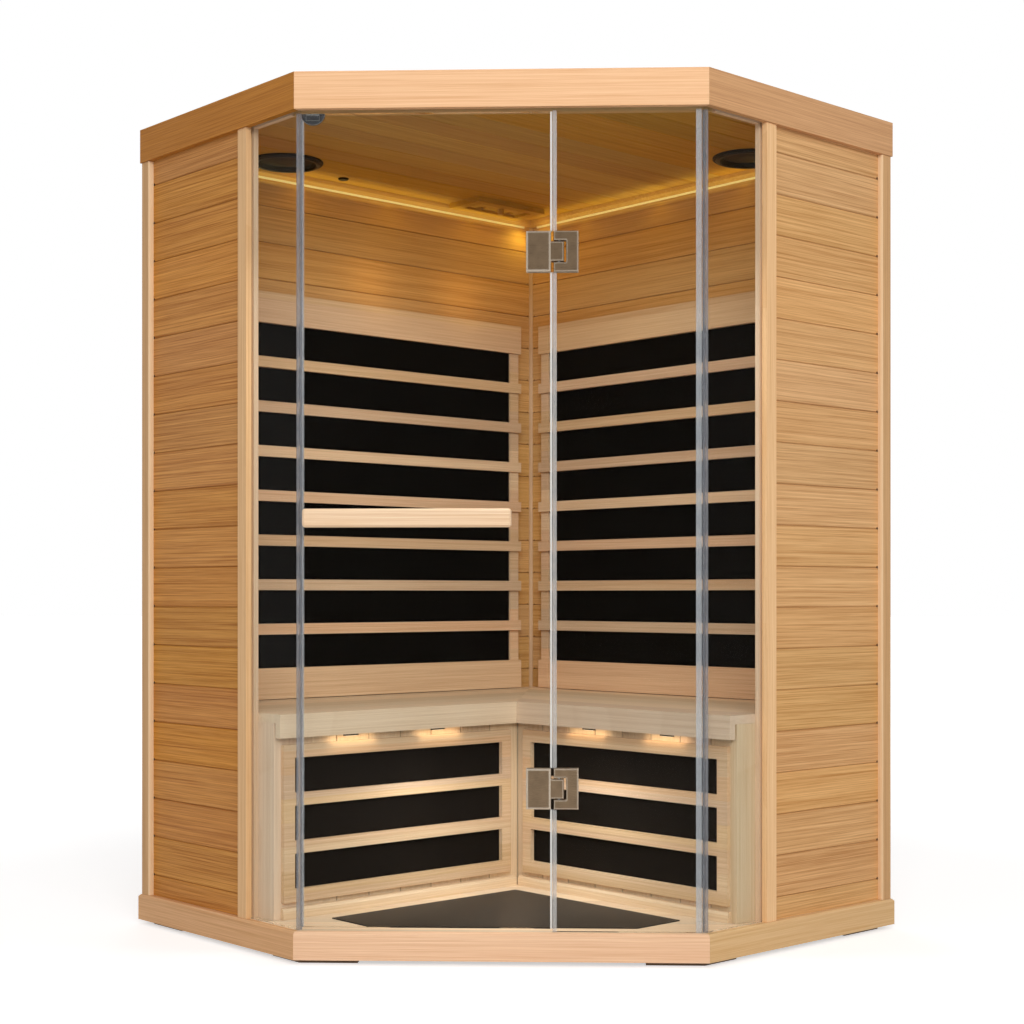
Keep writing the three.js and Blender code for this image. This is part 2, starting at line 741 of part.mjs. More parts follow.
function frontPost() {
  const width = [POST_BACK, POST_REACH];
  const post = join(
    block([SIDE_INNER, SIDE + POST_PROUD], width, [WALL_BOTTOM, FASCIA_BOTTOM - FIT]),
    block([SIDE_INNER, SIDE], width, [WALL_BOTTOM, WALL_TOP]),
  );
  const slot = block(
    [SIDE - GLASS_INNER - GLASS_PLAY, SIDE - GLASS_SET_BACK + GLASS_PLAY],
    [POST_REACH - GLASS_SEAT - GLASS_PLAY, POST_REACH + BEYOND],
    [0, ROOF_TOP],
  );
  return cut(post, slot);
}

function sidePane() {
  const frontLine = DIAGONAL * (FRONT_DEPTH - GLASS_SET_BACK);
  const end = frontLine - (SIDE - GLASS_SET_BACK) - PANE_GAP;
  return block(
    [SIDE - GLASS_INNER, SIDE - GLASS_SET_BACK],
    [POST_REACH - GLASS_SEAT, end],
    [WALL_BOTTOM, WALL_TOP],
  );
}

function benchSeat() {
  const length = [0, wingEnd];
  const board = block(length, [REAR_WALL + FIT, seatFront], [seatBottom, seatTop]);
  const edgeBottom = seatTop - SEAT_EDGE_HEIGHT;
  const edge = block(length, [seatFront - SEAT_EDGE, seatFront], [edgeBottom, seatTop]);
  return cut(join(board, edge), otherWing);
}

// Leg grille: its outer sizes, and the window inside its frame.
const legNear = benchFace + LEG_FRAME_NEAR;
const legFar = wingEnd - LEG_FRAME_FAR;
const legLow = FLOOR_TOP + LEG_FRAME_LEVEL;
const legWindowHeight = LEG_BANDS * LEG_BAND + (LEG_BANDS - 1) * LEG_SLAT;
const legWindowLow = legLow + LEG_FRAME;
const legWindowHigh = legWindowLow + legWindowHeight;
const legHigh = legWindowHigh + LEG_FRAME;
const legCutA = [legNear + LEG_FRAME - LEG_CUT_MARGIN, legFar - LEG_FRAME + LEG_CUT_MARGIN];
const legCutZ = [legWindowLow - LEG_CUT_MARGIN, legWindowHigh + LEG_CUT_MARGIN];

function benchFront() {
  const benchTop = seatBottom - FIT;
  const face = boardFace(benchFace, -1, 0, wingEnd, benchFace).map(([b, a]) => [a, b]);
  const plan = [...face, [wingEnd, benchFace - BENCH_BOARD], [0, benchFace - BENCH_BOARD]];
  const boards = cut(
    upright(plan, WALL_BOTTOM, benchTop),
    block(legCutA, [benchFace - 2 * BENCH_BOARD, benchFace + BEYOND], legCutZ),
  );
  const endPanel = block(
    [wingEnd - BENCH_BOARD, wingEnd],
    [REAR_WALL + FIT, benchFace],
    [WALL_BOTTOM, benchTop],
  );
  return join(cut(boards, otherWing), endPanel);
}

function legHeater() {
  const face = benchFace - LEG_HEATER_RECESS;
  return block(
    [legCutA[0] + FIT, legCutA[1] - FIT],
    [face - LEG_HEATER, face],
    [legCutZ[0] + FIT, legCutZ[1] - FIT],
  );
}

function legGrille() {
  const faces = [benchFace + FIT, benchFace + FIT + LEG_FRAME_THICKNESS];
  const cutFaces = [benchFace, benchFace + 2 * LEG_FRAME_THICKNESS];
  const openings = Array.from({ length: LEG_BANDS }, (_, i) => {
    const low = legWindowLow + i * (LEG_BAND + LEG_SLAT);
    return block([legNear + LEG_FRAME, legFar - LEG_FRAME], cutFaces, [low, low + LEG_BAND]);
  });
  return cut(block([legNear, legFar], faces, [legLow, legHigh]), ...openings);
}

// Lamp rail in the gap behind the seat's front edge, with two lamps that look out below it.
function lampRail() {
  const gap = [benchFace + FIT, seatFront - SEAT_EDGE - FIT];
  const [first, last] = LAMP_FROM_CORNER.map((place) => benchFace + place);
  const railTop = seatBottom - FIT;
  const rail = block(
    [first - LAMP_MARGIN, last + LAMP_MARGIN],
    gap,
    [railTop - LAMP_RAIL, railTop],
  );
  const lamps = [first, last].map((place) => {
    const sides = [place - LAMP_WIDTH / 2, place + LAMP_WIDTH / 2];
    return block(sides, gap, [seatTop - SEAT_EDGE_HEIGHT - LAMP_DROP, railTop]);
  });
  return join(rail, ...lamps);
}

// Rear grille: rails and slats on two stiles that stand against the wall.
const grilleNear = REAR_WALL + GRILLE_NEAR;
const grilleFar = SIDE_INNER - GRILLE_FAR;
const grilleLow = seatTop + GRILLE_ABOVE_SEAT;
const grilleWindow = BANDS * BAND_HEIGHT + (BANDS - 1) * SLAT_HEIGHT;
const grilleHigh = grilleLow + grilleWindow + 2 * RAIL_HEIGHT;
const stileBack = REAR_WALL + FIT;
const slatBack = stileBack + STILE_DEPTH;
const stileNear = grilleNear + STILE_INSET;
const stileFar = grilleFar - STILE_INSET;

function rearGrille() {
  const front = block(
    [grilleNear, grilleFar],
    [slatBack, slatBack + SLAT_THICKNESS],
    [grilleLow, grilleHigh],
  );
  const openings = Array.from({ length: BANDS }, (_, i) => {
    const low = grilleLow + RAIL_HEIGHT + i * (BAND_HEIGHT + SLAT_HEIGHT);
    return block(
      [grilleNear - BEYOND, grilleFar + BEYOND],
      [slatBack - BEYOND, slatBack + 2 * SLAT_THICKNESS],
      [low, low + BAND_HEIGHT],
    );
  });
  const stileFront = slatBack + SLAT_THICKNESS / 4;
  const stiles = [stileNear, stileFar - STILE_WIDTH].map((start) =>
    block([start, start + STILE_WIDTH], [stileBack, stileFront], [grilleLow, grilleHigh]),
  );
  return join(cut(front, ...openings), ...stiles);
}

function rearHeater() {
  return block(
    [stileNear + STILE_WIDTH + FIT, stileFar - STILE_WIDTH - FIT],
    [stileBack, stileBack + HEATER_THICKNESS],
    [grilleLow + RAIL_HEIGHT - HEATER_MARGIN, grilleHigh - RAIL_HEIGHT + HEATER_MARGIN],
  );
}

function speaker() {
  const face = CEILING - FIT;
  const top = face + SPEAKER_DEPTH;
  const rim = SPEAKER_RADIUS - SPEAKER_BASKET;
  const profile = [
    [0, face - SPEAKER_FLANGE / 2],
    [SPEAKER_BASKET / 3, face - SPEAKER_FLANGE / 2],
    [SPEAKER_BASKET - rim / 2, face + SPEAKER_FLANGE / 2],
    [SPEAKER_BASKET, face - SPEAKER_FLANGE],
    [SPEAKER_RADIUS - rim / 4, face - SPEAKER_FLANGE],
    [SPEAKER_RADIUS, face - SPEAKER_FLANGE / 2],
    [SPEAKER_RADIUS, face],
    [SPEAKER_BASKET, face],
    [SPEAKER_BASKET, top],
    [0, top],
  ];
  return turned(profile, speakerPlace);
}

function frontFoot() {
  const side = SIDE - FOOT_INSET;
  const corner = [side, DIAGONAL * (FRONT_DEPTH - FOOT_INSET) - side];
  const reach = FOOT_LENGTH / DIAGONAL;
  const width = FOOT_WIDTH / DIAGONAL;
  const plan = [
    corner,
    [corner[0] - reach, corner[1] + reach],
    [corner[0] - reach - width, corner[1] + reach - width],
    [corner[0] - FOOT_WIDTH, corner[1] - FOOT_SHORT],
    [corner[0], corner[1] - FOOT_SHORT],
  ];
  return upright(plan, 0, FOOT_HEIGHT - FIT);
}

function sideFoot() {
  const outer = SIDE - FOOT_INSET;
  const length = [FOOT_FROM_END, FOOT_FROM_END + FOOT_LENGTH];
  return block([outer - FOOT_WIDTH, outer], length, [0, FOOT_HEIGHT - FIT]);
}

for (const [side, wing] of Object.entries({ left: leftWing, right: rightWing })) {
  piece(wing, `${side}_rear_wall`, rearWall(), SIDING);
  piece(wing, `${side}_side_wall`, sideWall(), SIDING);
  piece(wing, `${side}_front_post`, frontPost(), SIDING);
  piece(wing, `${side}_pane`, sidePane(), CLEAR);
  piece(wing, `${side}_bench_seat`, benchSeat(), PALE_WOOD);
  piece(wing, `${side}_bench_front`, benchFront(), PALE_WOOD);
  piece(wing, `${side}_lamp_rail`, lampRail(), DARK);
  piece(wing, `${side}_leg_heater`, legHeater(), HEATER);
  piece(wing, `${side}_leg_grille`, legGrille(), PALE_WOOD);
  piece(wing, `${side}_rear_heater`, rearHeater(), HEATER);
  piece(wing, `${side}_rear_grille`, rearGrille(), PALE_WOOD);
  piece(wing, `${side}_speaker`, speaker(), DARK);
  piece(wing, `foot_front_${side}`, frontFoot(), DARK);
  piece(wing, `foot_${side}`, sideFoot(), DARK);
}

const rearFootEnd = FOOT_INSET + FOOT_SHORT;
const rearFootSpan = [FOOT_INSET, rearFootEnd];
const rearFoot = block(rearFootSpan, rearFootSpan, [0, FOOT_HEIGHT - FIT]);
piece(leftWing, "foot_rear", rearFoot, DARK);

// Fittings of one side only.

const sensorProfile = [
  [0, WALL_TOP - SENSOR_FLANGE],
  [SENSOR_RADIUS - SENSOR_FLANGE / 2, WALL_TOP - SENSOR_FLANGE],
  [SENSOR_RADIUS, WALL_TOP - SENSOR_FLANGE / 2],
  [SENSOR_RADIUS, WALL_TOP],
  [SENSOR_STEM, WALL_TOP],
  [SENSOR_STEM, ceilingTop],
  [0, ceilingTop],
];
piece(leftWing, "temperature_sensor", turned(sensorProfile, sensorPlace), DARK);

// Vent: the slide runs in a pocket between the frame and the ceiling.
// Its knob hangs through the window of the frame.
function ventInside(margin, low, high) {
  return block(
    [ventPlace[0] + margin, ventPlace[0] + VENT_LENGTH - margin],
    [ventPlace[1] + margin, ventPlace[1] + VENT_WIDTH - margin],
    [low, high],
  );
}

const pocketBottom = WALL_TOP - SLIDE_THICKNESS - 2 * SLIDE_PLAY;
const ventBottom = WALL_TOP - VENT_DEPTH;
const ventFrame = cut(
  ventInside(0, ventBottom, WALL_TOP),
  ventInside(VENT_RIM, pocketBottom, CEILING),
  ventInside(VENT_BORDER, ventBottom - BEYOND, CEILING),
);
piece(leftWing, "vent_frame", ventFrame, PALE_WOOD);

const slideBottom = pocketBottom + SLIDE_PLAY;
const slidePlate = block(
  [slideStart, slideStart + slideLength],
  [ventPlace[1] + VENT_RIM + SLIDE_PLAY, ventPlace[1] + VENT_WIDTH - VENT_RIM - SLIDE_PLAY],
  [slideBottom, slideBottom + SLIDE_THICKNESS],
);
const slideSlots = slotPlaces.map((place) =>
  upright(slotPlan(place, 0), slideBottom - BEYOND, CEILING),
);
const knobTop = slideBottom + SLIDE_THICKNESS / 2;
const knobPlace = [slideMiddle, ventMiddle[1]];
const knob = drum(KNOB_RADIUS, slideBottom - KNOB_HEIGHT, knobTop, knobPlace);
piece(leftWing, "vent_slide", join(cut(slidePlate, ...slideSlots), knob), PALE_WOOD);

// Control panel on the inner face of the right side wall.
const controlLow = FLOOR_TOP + CONTROL_LEVEL - CONTROL_SIZE[1] / 2;
const controlShape = roundedRectangle(
  [CONTROL_FROM_REAR, CONTROL_FROM_REAR + CONTROL_SIZE[0]],
  [controlLow, controlLow + CONTROL_SIZE[1]],
  2 * CONTROL_BEVEL,
);
const controlGeometry = new THREE.ExtrudeGeometry(controlShape, {
  depth: CONTROL_SIZE[2] - CONTROL_BEVEL,
  bevelEnabled: true,
  bevelThickness: CONTROL_BEVEL / 2,
  bevelSize: CONTROL_BEVEL,
  bevelOffset: -CONTROL_BEVEL,
  bevelSegments: 1,
});
const controlTurn = new THREE.Matrix4().makeBasis(
  new THREE.Vector3(0, 1, 0),
  new THREE.Vector3(0, 0, 1),
  new THREE.Vector3(1, 0, 0),
);
const controlBack = wingEnd - CONTROL_SIZE[2] + CONTROL_BEVEL / 2;
controlGeometry.applyMatrix4(controlTurn.setPosition(controlBack, 0, 0));
piece(rightWing, "control_panel", solidFrom(controlGeometry), DARK);

// The middle of the bounding box comes to the origin.
// The handle is foremost and the base trim rearmost.
const foremost = Math.min(handleBack - HANDLE_DEPTH, depth(-BASE_PROUD));
cabin.position.y = -(foremost + BASE_PROUD * DIAGONAL) / 2;

export default root;
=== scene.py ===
# The looks of the infrared sauna cabin: camera, light, materials and small detail around the solids.
# Metres, in the frame of the part: +Z up, the glass front faces -Y.
import math

import bmesh
import bpy
from mathutils import Matrix, Vector


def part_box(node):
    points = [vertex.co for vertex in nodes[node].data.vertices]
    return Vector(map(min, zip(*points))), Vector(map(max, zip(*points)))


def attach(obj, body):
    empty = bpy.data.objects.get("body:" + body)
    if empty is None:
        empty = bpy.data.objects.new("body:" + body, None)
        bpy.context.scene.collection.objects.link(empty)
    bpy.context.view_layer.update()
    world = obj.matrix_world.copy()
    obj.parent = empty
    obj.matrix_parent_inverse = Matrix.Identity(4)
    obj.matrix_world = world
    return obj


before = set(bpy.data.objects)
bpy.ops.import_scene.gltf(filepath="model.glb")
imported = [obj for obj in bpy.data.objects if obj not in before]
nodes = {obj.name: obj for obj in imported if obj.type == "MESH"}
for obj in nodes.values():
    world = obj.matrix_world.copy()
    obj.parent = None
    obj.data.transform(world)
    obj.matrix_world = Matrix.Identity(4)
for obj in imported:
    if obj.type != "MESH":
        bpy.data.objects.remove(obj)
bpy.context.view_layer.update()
scene = bpy.context.scene

SIDES = ("left", "right")
HINGES = ("lower", "upper")
X, Y, Z = Vector((1, 0, 0)), Vector((0, 1, 0)), Vector((0, 0, 1))

# Camera, fitted to corners of the roof and the base in the photograph

camera = bpy.data.objects.new("camera", bpy.data.cameras.new("camera"))
scene.collection.objects.link(camera)
scene.camera = camera
camera.location = (0.25484, -4.51215, 0.81398)
camera.rotation_euler = (math.radians(90), 0, math.radians(2.0847))
camera.data.sensor_width = 36
camera.data.lens = 61.40
camera.data.shift_x = -0.0405
camera.data.shift_y = 0.0808
camera.data.clip_end = 200

# Sizes that the detail pieces share with the solids

SQ = math.sqrt(0.5)
REAR_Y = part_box("floor_panel")[1].y
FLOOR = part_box("floor_panel")[1].z
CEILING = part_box("ceiling_panel")[0].z
CROWN_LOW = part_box("ceiling_crown")[0].z
HEADER_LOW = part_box("door_header")[0].z
SEAT_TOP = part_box("left_bench_seat")[1].z
GLASS_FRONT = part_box("door_pane")[0].y
GLASS_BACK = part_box("door_pane")[1].y
# Width of a wall board, and thickness of the rear walls
BOARD = 0.0946
WALL = 0.019
# Outer and inner face of the side walls and of the side panes, along the wing from the rear corner
SIDE = 1.280
SIDE_INNER = 1.256
PANE_OUTER = SIDE - 0.003
PANE_INNER = SIDE - 0.011
# Bench front, away from the rear wall, and the bench lamps along it
BENCH_FACE = 0.514
LAMP_PLACES = (0.266, 0.529)

# Directions along and away from the rear wall of each wing
ALONG = {"left": Vector((-SQ, -SQ, 0)), "right": Vector((SQ, -SQ, 0))}
AWAY = {"left": Vector((SQ, -SQ, 0)), "right": Vector((-SQ, -SQ, 0))}
REAR_CORNER = Vector((0, REAR_Y, 0))


def wing_point(side, a, b, z):
    """A point by its distances along and away from a wing's rear wall."""
    return REAR_CORNER + ALONG[side] * a + AWAY[side] * b + Z * z


def wing_plan(side, section):
    """A closed plan of (x, y) points from distances along and away from a wing's rear wall."""
    return [wing_point(side, a, b, 0).xy for a, b in section]


def from_corner(axis, distance):
    """The coordinate along an axis at a distance from the rear corner."""
    return axis.dot(REAR_CORNER) + distance


# Materials


class Graph:
    """A node tree, with short calls for the nodes that the materials and the world share."""

    def __init__(self, owner):
        owner.use_nodes = True
        self.tree = owner.node_tree
        self.tree.nodes.clear()

    def add(self, kind, **settings):
        node = self.tree.nodes.new(kind)
        for key, value in settings.items():
            setattr(node, key, value)
        return node

    def put(self, socket, value):
        if isinstance(value, bpy.types.NodeSocket):
            self.tree.links.new(value, socket)
        elif hasattr(socket.default_value, "__len__") and len(value) < len(socket.default_value):
            socket.default_value = (*value, 1)
        else:
            socket.default_value = value

    def math(self, operation, *values, clamp=False):
        node = self.add("ShaderNodeMath", operation=operation, use_clamp=clamp)
        for socket, value in zip(node.inputs, values):
            self.put(socket, value)
        return node.outputs[0]

    def plus(self, a, b):
        return self.math("ADD", a, b)

    def times(self, a, b):
        return self.math("MULTIPLY", a, b)

    def range(self, value, low, high, to_low=0.0, to_high=1.0):
        node = self.add("ShaderNodeMapRange")
        for socket, number in zip(node.inputs, (value, low, high, to_low, to_high)):
            self.put(socket, number)
        return node.outputs[0]

    def seen(self):
        """1 for what is looked at, directly, mirrored or through glass, and 0 for what only lights."""
        path = self.add("ShaderNodeLightPath").outputs
        mirrored = self.math("ADD", path["Is Camera Ray"], path["Is Glossy Ray"], clamp=True)
        return self.math("ADD", mirrored, path["Is Transmission Ray"], clamp=True)


class Surface(Graph):
    """The node tree of a material with one shader."""

    def __init__(self, name):
        self.material = bpy.data.materials.new(name)
        super().__init__(self.material)
        self.output = self.add("ShaderNodeOutputMaterial")
        self.shader = self.add("ShaderNodeBsdfPrincipled")
        self.put(self.output.inputs["Surface"], self.shader.outputs[0])
        self.place = self.add("ShaderNodeTexCoord").outputs["Object"]

    def set(self, **values):
        for key, value in values.items():
            name = key.replace("_", " ").title().replace("Ior", "IOR")
            self.put(self.shader.inputs[name], value)

    def vector_math(self, operation, *values):
        node = self.add("ShaderNodeVectorMath", operation=operation)
        for socket, value in zip(node.inputs, values):
            self.put(socket, value)
        return node.outputs["Value"]

    def dot(self, axis):
        return self.vector_math("DOT_PRODUCT", self.place, axis)

    def vector(self, x, y, z):
        node = self.add("ShaderNodeCombineXYZ")
        for socket, value in zip(node.inputs, (x, y, z)):
            self.put(socket, value)
        return node.outputs[0]

    def noise(self, vector, scale=1.0, detail=2.0, roughness=0.5):
        node = self.add("ShaderNodeTexNoise")
        self.put(node.inputs["Vector"], vector)
        node.inputs["Scale"].default_value = scale
        node.inputs["Detail"].default_value = detail
        node.inputs["Roughness"].default_value = roughness
        return node.outputs[0]

    def split(self, colour):
        node = self.add("ShaderNodeSeparateColor")
        self.put(node.inputs[0], colour)
        return node.outputs

    def random(self, value):
        """Three chances from one number."""
        node = self.add("ShaderNodeTexWhiteNoise", noise_dimensions="1D")
        self.put(node.inputs["W"], value)
        return self.split(node.outputs["Color"])

    def mix(self, factor, a, b):
        node = self.add("ShaderNodeMix", data_type="RGBA", blend_type="MIX")
        for index, value in ((0, factor), (6, a), (7, b)):
            self.put(node.inputs[index], value)
        return node.outputs[2]

    def bump(self, height, strength, distance):
        node = self.add("ShaderNodeBump")
        node.inputs["Strength"].default_value = strength
        node.inputs["Distance"].default_value = distance
        self.put(node.inputs["Height"], height)
        self.put(self.shader.inputs["Normal"], node.outputs[0])

    def let_light_through(self, tint):
        """Light passes straight to matt surfaces, so that it reaches what stands behind the glass."""
        path = self.add("ShaderNodeLightPath").outputs
        clear = self.add("ShaderNodeBsdfTransparent")
        clear.inputs[0].default_value = (*tint, 1)
        mix = self.add("ShaderNodeMixShader")
        passing = self.math("ADD", path["Is Shadow Ray"], path["Is Diffuse Ray"], clamp=True)
        for socket, value in zip(mix.inputs, (passing, self.shader.outputs[0], clear.outputs[0])):
            self.put(socket, value)
        self.put(self.output.inputs["Surface"], mix.outputs[0])


def srgb(r, g, b):
    """A colour written as 0 to 255 on a screen, as linear numbers."""
    return tuple(((c / 255 + 0.055) / 1.055) ** 2.4 if c > 10 else c / 3294.6 for c in (r, g, b))


def shaded(colour, factor):
    return tuple(c * factor for c in colour)


RING_WIDTH = 0.0048
# Width and core of the dark lines at the board joints, partly dirt and partly painted shadow of the
# grooves.
SEAM_WIDTH = 0.0018
SEAM_CORE = 0.0005


def wood(name, tones, grain, across, seed, board=None, inner=None, contrast=1.0, gloss=0.5,
         variety=1.0, seam=0.5):
    """Straight-grained softwood.

    tones are the light and dark parts of the grain. grain and across are the directions along and
    across the boards. board is (start, width) of the boards along the second one, or None for a
    single board. inner is (axis, limit, tones) for the tones of the other face.
    """
    g = Surface(name)
    light, dark = tones
    knot_colour, seam_dirt_and_shade = shaded(dark, 0.3), shaded(dark, 0.25)
    u, v, w = g.dot(grain), g.dot(across), g.dot(grain.cross(across))
    if board:
        start, width = board
        count = g.math("DIVIDE", g.math("SUBTRACT", v, start), width)
        index = g.math("FLOOR", count)
        part = g.math("SUBTRACT", count, index)
        local = g.times(g.math("SUBTRACT", part, 0.5), width)
        to_edge = g.math("ABSOLUTE", local)
        edge = g.range(to_edge, width / 2 - SEAM_WIDTH, width / 2 - SEAM_CORE)
        chance = g.random(g.plus(index, seed))
    else:
        local = v
        chance = g.random(float(seed))
    shift = g.times(chance[0], 40.0)

    def drawn_out(along, aside):
        """The place on the board, drawn out along the grain and moved on from board to board."""
        return g.vector(g.plus(g.times(u, along), shift), g.times(v, aside), g.times(w, aside))

    # Growth rings: the distance from a heart line that runs along the board, off to one side of it
    slow = g.noise(g.vector(g.plus(g.times(u, 1.6), shift), g.times(v, 3.0), w))
    sway = g.times(g.math("SUBTRACT", slow, 0.5), 0.05)
    aside = g.plus(g.plus(local, sway), g.math("MULTIPLY_ADD", chance[1], 0.22, -0.11))
    below = g.math("MULTIPLY_ADD", chance[2], 0.05, 0.025)
    radius = g.math("SQRT", g.plus(g.math("POWER", aside, 2.0), g.math("POWER", below, 2.0)))
    ring = g.math("FRACT", g.math("DIVIDE", radius, RING_WIDTH))
    late = g.math("POWER", ring, 3.0)
    # Fine fibres, longer streaks and broad soft bands
    fibre = g.noise(drawn_out(5.0, 520.0), 1.0, 3.0, 0.65)
    streak = g.noise(drawn_out(1.1, 190.0), 1.0, 4.0, 0.65)
    band = g.noise(drawn_out(0.7, 34.0))
    tone = g.times(late, 0.2 * contrast)
    for pattern, low, high, weight in (
        (streak, 0.38, 0.64, 0.44),
        (band, 0.4, 0.7, 0.16),
        (fibre, 0.4, 0.64, 0.44),
    ):
        share = g.times(g.range(pattern, low, high), weight * contrast)
        tone = g.math("ADD", tone, share, clamp=True)
    # Pin knots, few and far between
    cells = g.add("ShaderNodeTexVoronoi")
    g.put(cells.inputs["Vector"], drawn_out(2.6, 7.5))
    cells.inputs["Scale"].default_value = 1.0
    chosen = g.math("GREATER_THAN", g.split(cells.outputs["Color"])[0], 0.72)
    knot = g.times(g.range(cells.outputs["Distance"], 0.03, 0.014), chosen)

    if inner:
        axis, limit, (inner_light, inner_dark) = inner
        inside = g.math("GREATER_THAN", g.dot(axis), limit)
        light = g.mix(inside, light, inner_light)
        dark = g.mix(inside, dark, inner_dark)
    # Boards differ a little in hue, saturation and value
    shade = g.add("ShaderNodeHueSaturation")
    for key, number, middle, spread in (
        ("Hue", 1, 0.5, 0.012),
        ("Saturation", 2, 1.0, 0.16),
        ("Value", 0, 1.0, 0.22),
    ):
        lowest = middle - spread / 2 * variety
        g.put(shade.inputs[key], g.math("MULTIPLY_ADD", chance[number], spread * variety, lowest))
    g.put(shade.inputs["Color"], g.mix(tone, light, dark))
    colour = g.mix(g.times(knot, 0.6), shade.outputs[0], knot_colour)
    # Dark lines at the board joints: partly dirt in the joints, partly painted shadow of the grooves.
    if board and seam:
        colour = g.mix(g.times(edge, seam), colour, seam_dirt_and_shade)
    g.set(base_color=colour, specular_ior_level=0.2)
    g.set(roughness=g.range(fibre, 0.3, 0.7, gloss - 0.06, gloss + 0.1))
    g.bump(g.plus(g.times(fibre, 0.6), g.times(late, 0.4)), 0.22, 0.0006)
    return g.material


def metal(name, colour, roughness, along, rim=None, rim_highlight_width=0.0048):
    """Brushed metal with fine scratches along one direction; where a rim colour is given, it is painted on
    the rounded edges as a highlight.
    """
    g = Surface(name)
    side = along.orthogonal().normalized()
    lines = [g.times(g.dot(along), 40.0)]
    lines += [g.times(g.dot(axis), 2600.0) for axis in (side, along.cross(side))]
    scratch = g.noise(g.vector(*lines), 1.0, 3.0, 0.6)
    cloud = g.noise(g.place, 45.0, 3.0)
    face = g.mix(g.range(cloud, 0.35, 0.7), colour, shaded(colour, 0.82))
    if rim:
        flat = g.add("ShaderNodeNewGeometry").outputs["True Normal"]
        rounded = g.add("ShaderNodeBevel", samples=6)
        rounded.inputs["Radius"].default_value = rim_highlight_width
        turn = g.vector_math("DOT_PRODUCT", flat, rounded.outputs[0])
        # Painted highlight: the lighter rim colour on the rounded edges.
        face = g.mix(g.range(turn, 0.998, 0.93), face, rim)
    g.set(base_color=face, metallic=1.0)
    g.set(roughness=g.range(scratch, 0.3, 0.7, roughness - 0.07, roughness + 0.1))
    g.bump(scratch, 0.12, 0.0003)
    return g.material


def moulded(name, colour, roughness, size=900.0, strength=0.25):
    """Moulded plastic or a coat of paint, with a fine grain."""
    g = Surface(name)
    grain = g.noise(g.place, size, 2.0, 0.6)
    cloud = g.noise(g.place, 14.0, 3.0)
    lighter = tuple(min(1.0, c * 1.35 + 0.002) for c in colour)
    g.set(base_color=g.mix(g.range(cloud, 0.35, 0.7), colour, lighter), specular_ior_level=0.25)
    g.set(roughness=g.range(grain, 0.3, 0.7, roughness - 0.05, roughness + 0.08))
    g.bump(grain, strength, 0.0004)
    return g.material


def carbon(name, colour, speck, roughness, axes):
    """A heating panel: a matt black sheet with a woven grain and faint specks."""
    g = Surface(name)
    warp, weft = (g.math("SINE", g.times(g.dot(axis), 2200.0)) for axis in axes)
    weave = g.math("MULTIPLY_ADD", g.times(warp, weft), 0.5, 0.5)
    specks = g.range(g.noise(g.place, 420.0, 2.0, 0.7), 0.6, 0.8)
    cloud = g.noise(g.place, 3.0)
    base = g.mix(g.range(cloud, 0.3, 0.7), colour, shaded(colour, 1.5))
    g.set(base_color=g.mix(specks, base, speck), specular_ior_level=0.05)
    g.set(roughness=g.range(weave, 0.0, 1.0, roughness - 0.06, roughness + 0.06))
    g.bump(weave, 0.15, 0.0004)
    return g.material


def glass(name, tint):
    """Clear glass with faint smears."""
    g = Surface(name)
    film = g.noise(g.place, 6.0, 4.0, 0.6)
    g.set(base_color=tint, transmission_weight=1.0, ior=1.055)
    g.set(roughness=g.range(film, 0.45, 0.8, 0.0, 0.012))
    g.let_light_through(tint)
    return g.material


def seal_plastic(name, tint, clear):
    """Soft plastic of the glass seals, clear in part."""
    g = Surface(name)
    film = g.noise(g.place, 60.0, 3.0)
    g.set(base_color=tint, transmission_weight=clear, ior=1.3)
    g.set(roughness=g.range(film, 0.35, 0.7, 0.08, 0.2))
    g.let_light_through(tint)
    return g.material


def glow(name, colour, strength):
    """A lens or strip that shines by itself."""
    g = Surface(name)
    ripple = g.noise(g.place, 300.0, 1.0)
    g.set(base_color=g.mix(ripple, (0.9, 0.85, 0.75), (0.8, 0.75, 0.65)), roughness=0.4)
    g.set(emission_color=colour, emission_strength=strength)
    return g.material


# Tones of the wood: light and dark parts of its grain

# HONEY_LIT_AND_SHADED is one wood in two tones: lighter on the right side, and darker and more amber on
# the left as painted shade of the less lit left side.
HONEY_LIT_AND_SHADED = {
    "left": (srgb(228, 163, 84), srgb(166, 100, 38)),
    "right": (srgb(246, 196, 136), srgb(194, 138, 80)),
}
# FASCIA_LIT_AND_SHADED is one wood in two tones: the left is darker than the right, as painted shade of
# the less lit left side.
FASCIA_LIT_AND_SHADED = {
    "left": (srgb(194, 130, 58), srgb(156, 96, 38)),
    "right": (srgb(222, 172, 116), srgb(186, 134, 82)),
}
# FOOTING_LIT_AND_SHADED is one wood in two tones: the right is lighter than the left, as painted light on
# the better lit right side.
FOOTING_LIT_AND_SHADED = {
    "left": (srgb(252, 206, 154), srgb(220, 168, 114)),
    "right": (srgb(255, 216, 170), srgb(232, 184, 134)),
}
STRIP = (srgb(255, 213, 164), srgb(232, 182, 130))
CORNER = (srgb(238, 188, 130), srgb(208, 156, 102))
# NOSE_HIGHLIGHT is a lighter copy of CORNER for the round noses of the corner strips: a painted highlight
# where the nose faces the front lamps.
NOSE_HIGHLIGHT = (srgb(255, 222, 178), srgb(246, 202, 152))
PALE = (srgb(248, 207, 164), srgb(220, 168, 120))
ROOM = (srgb(228, 184, 122), srgb(188, 140, 82))
CANOPY = (srgb(208, 160, 84), srgb(176, 128, 58))
JAMB = (srgb(238, 208, 178), srgb(214, 181, 148))
BENCH = (srgb(236, 212, 182), srgb(212, 181, 146))
FLOORING = (srgb(247, 224, 194), srgb(228, 198, 162))
SLAT = (srgb(230, 198, 162), srgb(198, 158, 120))
HANDLE = (srgb(250, 221, 190), srgb(230, 190, 150))
COVER = (srgb(218, 184, 142), srgb(188, 150, 106))
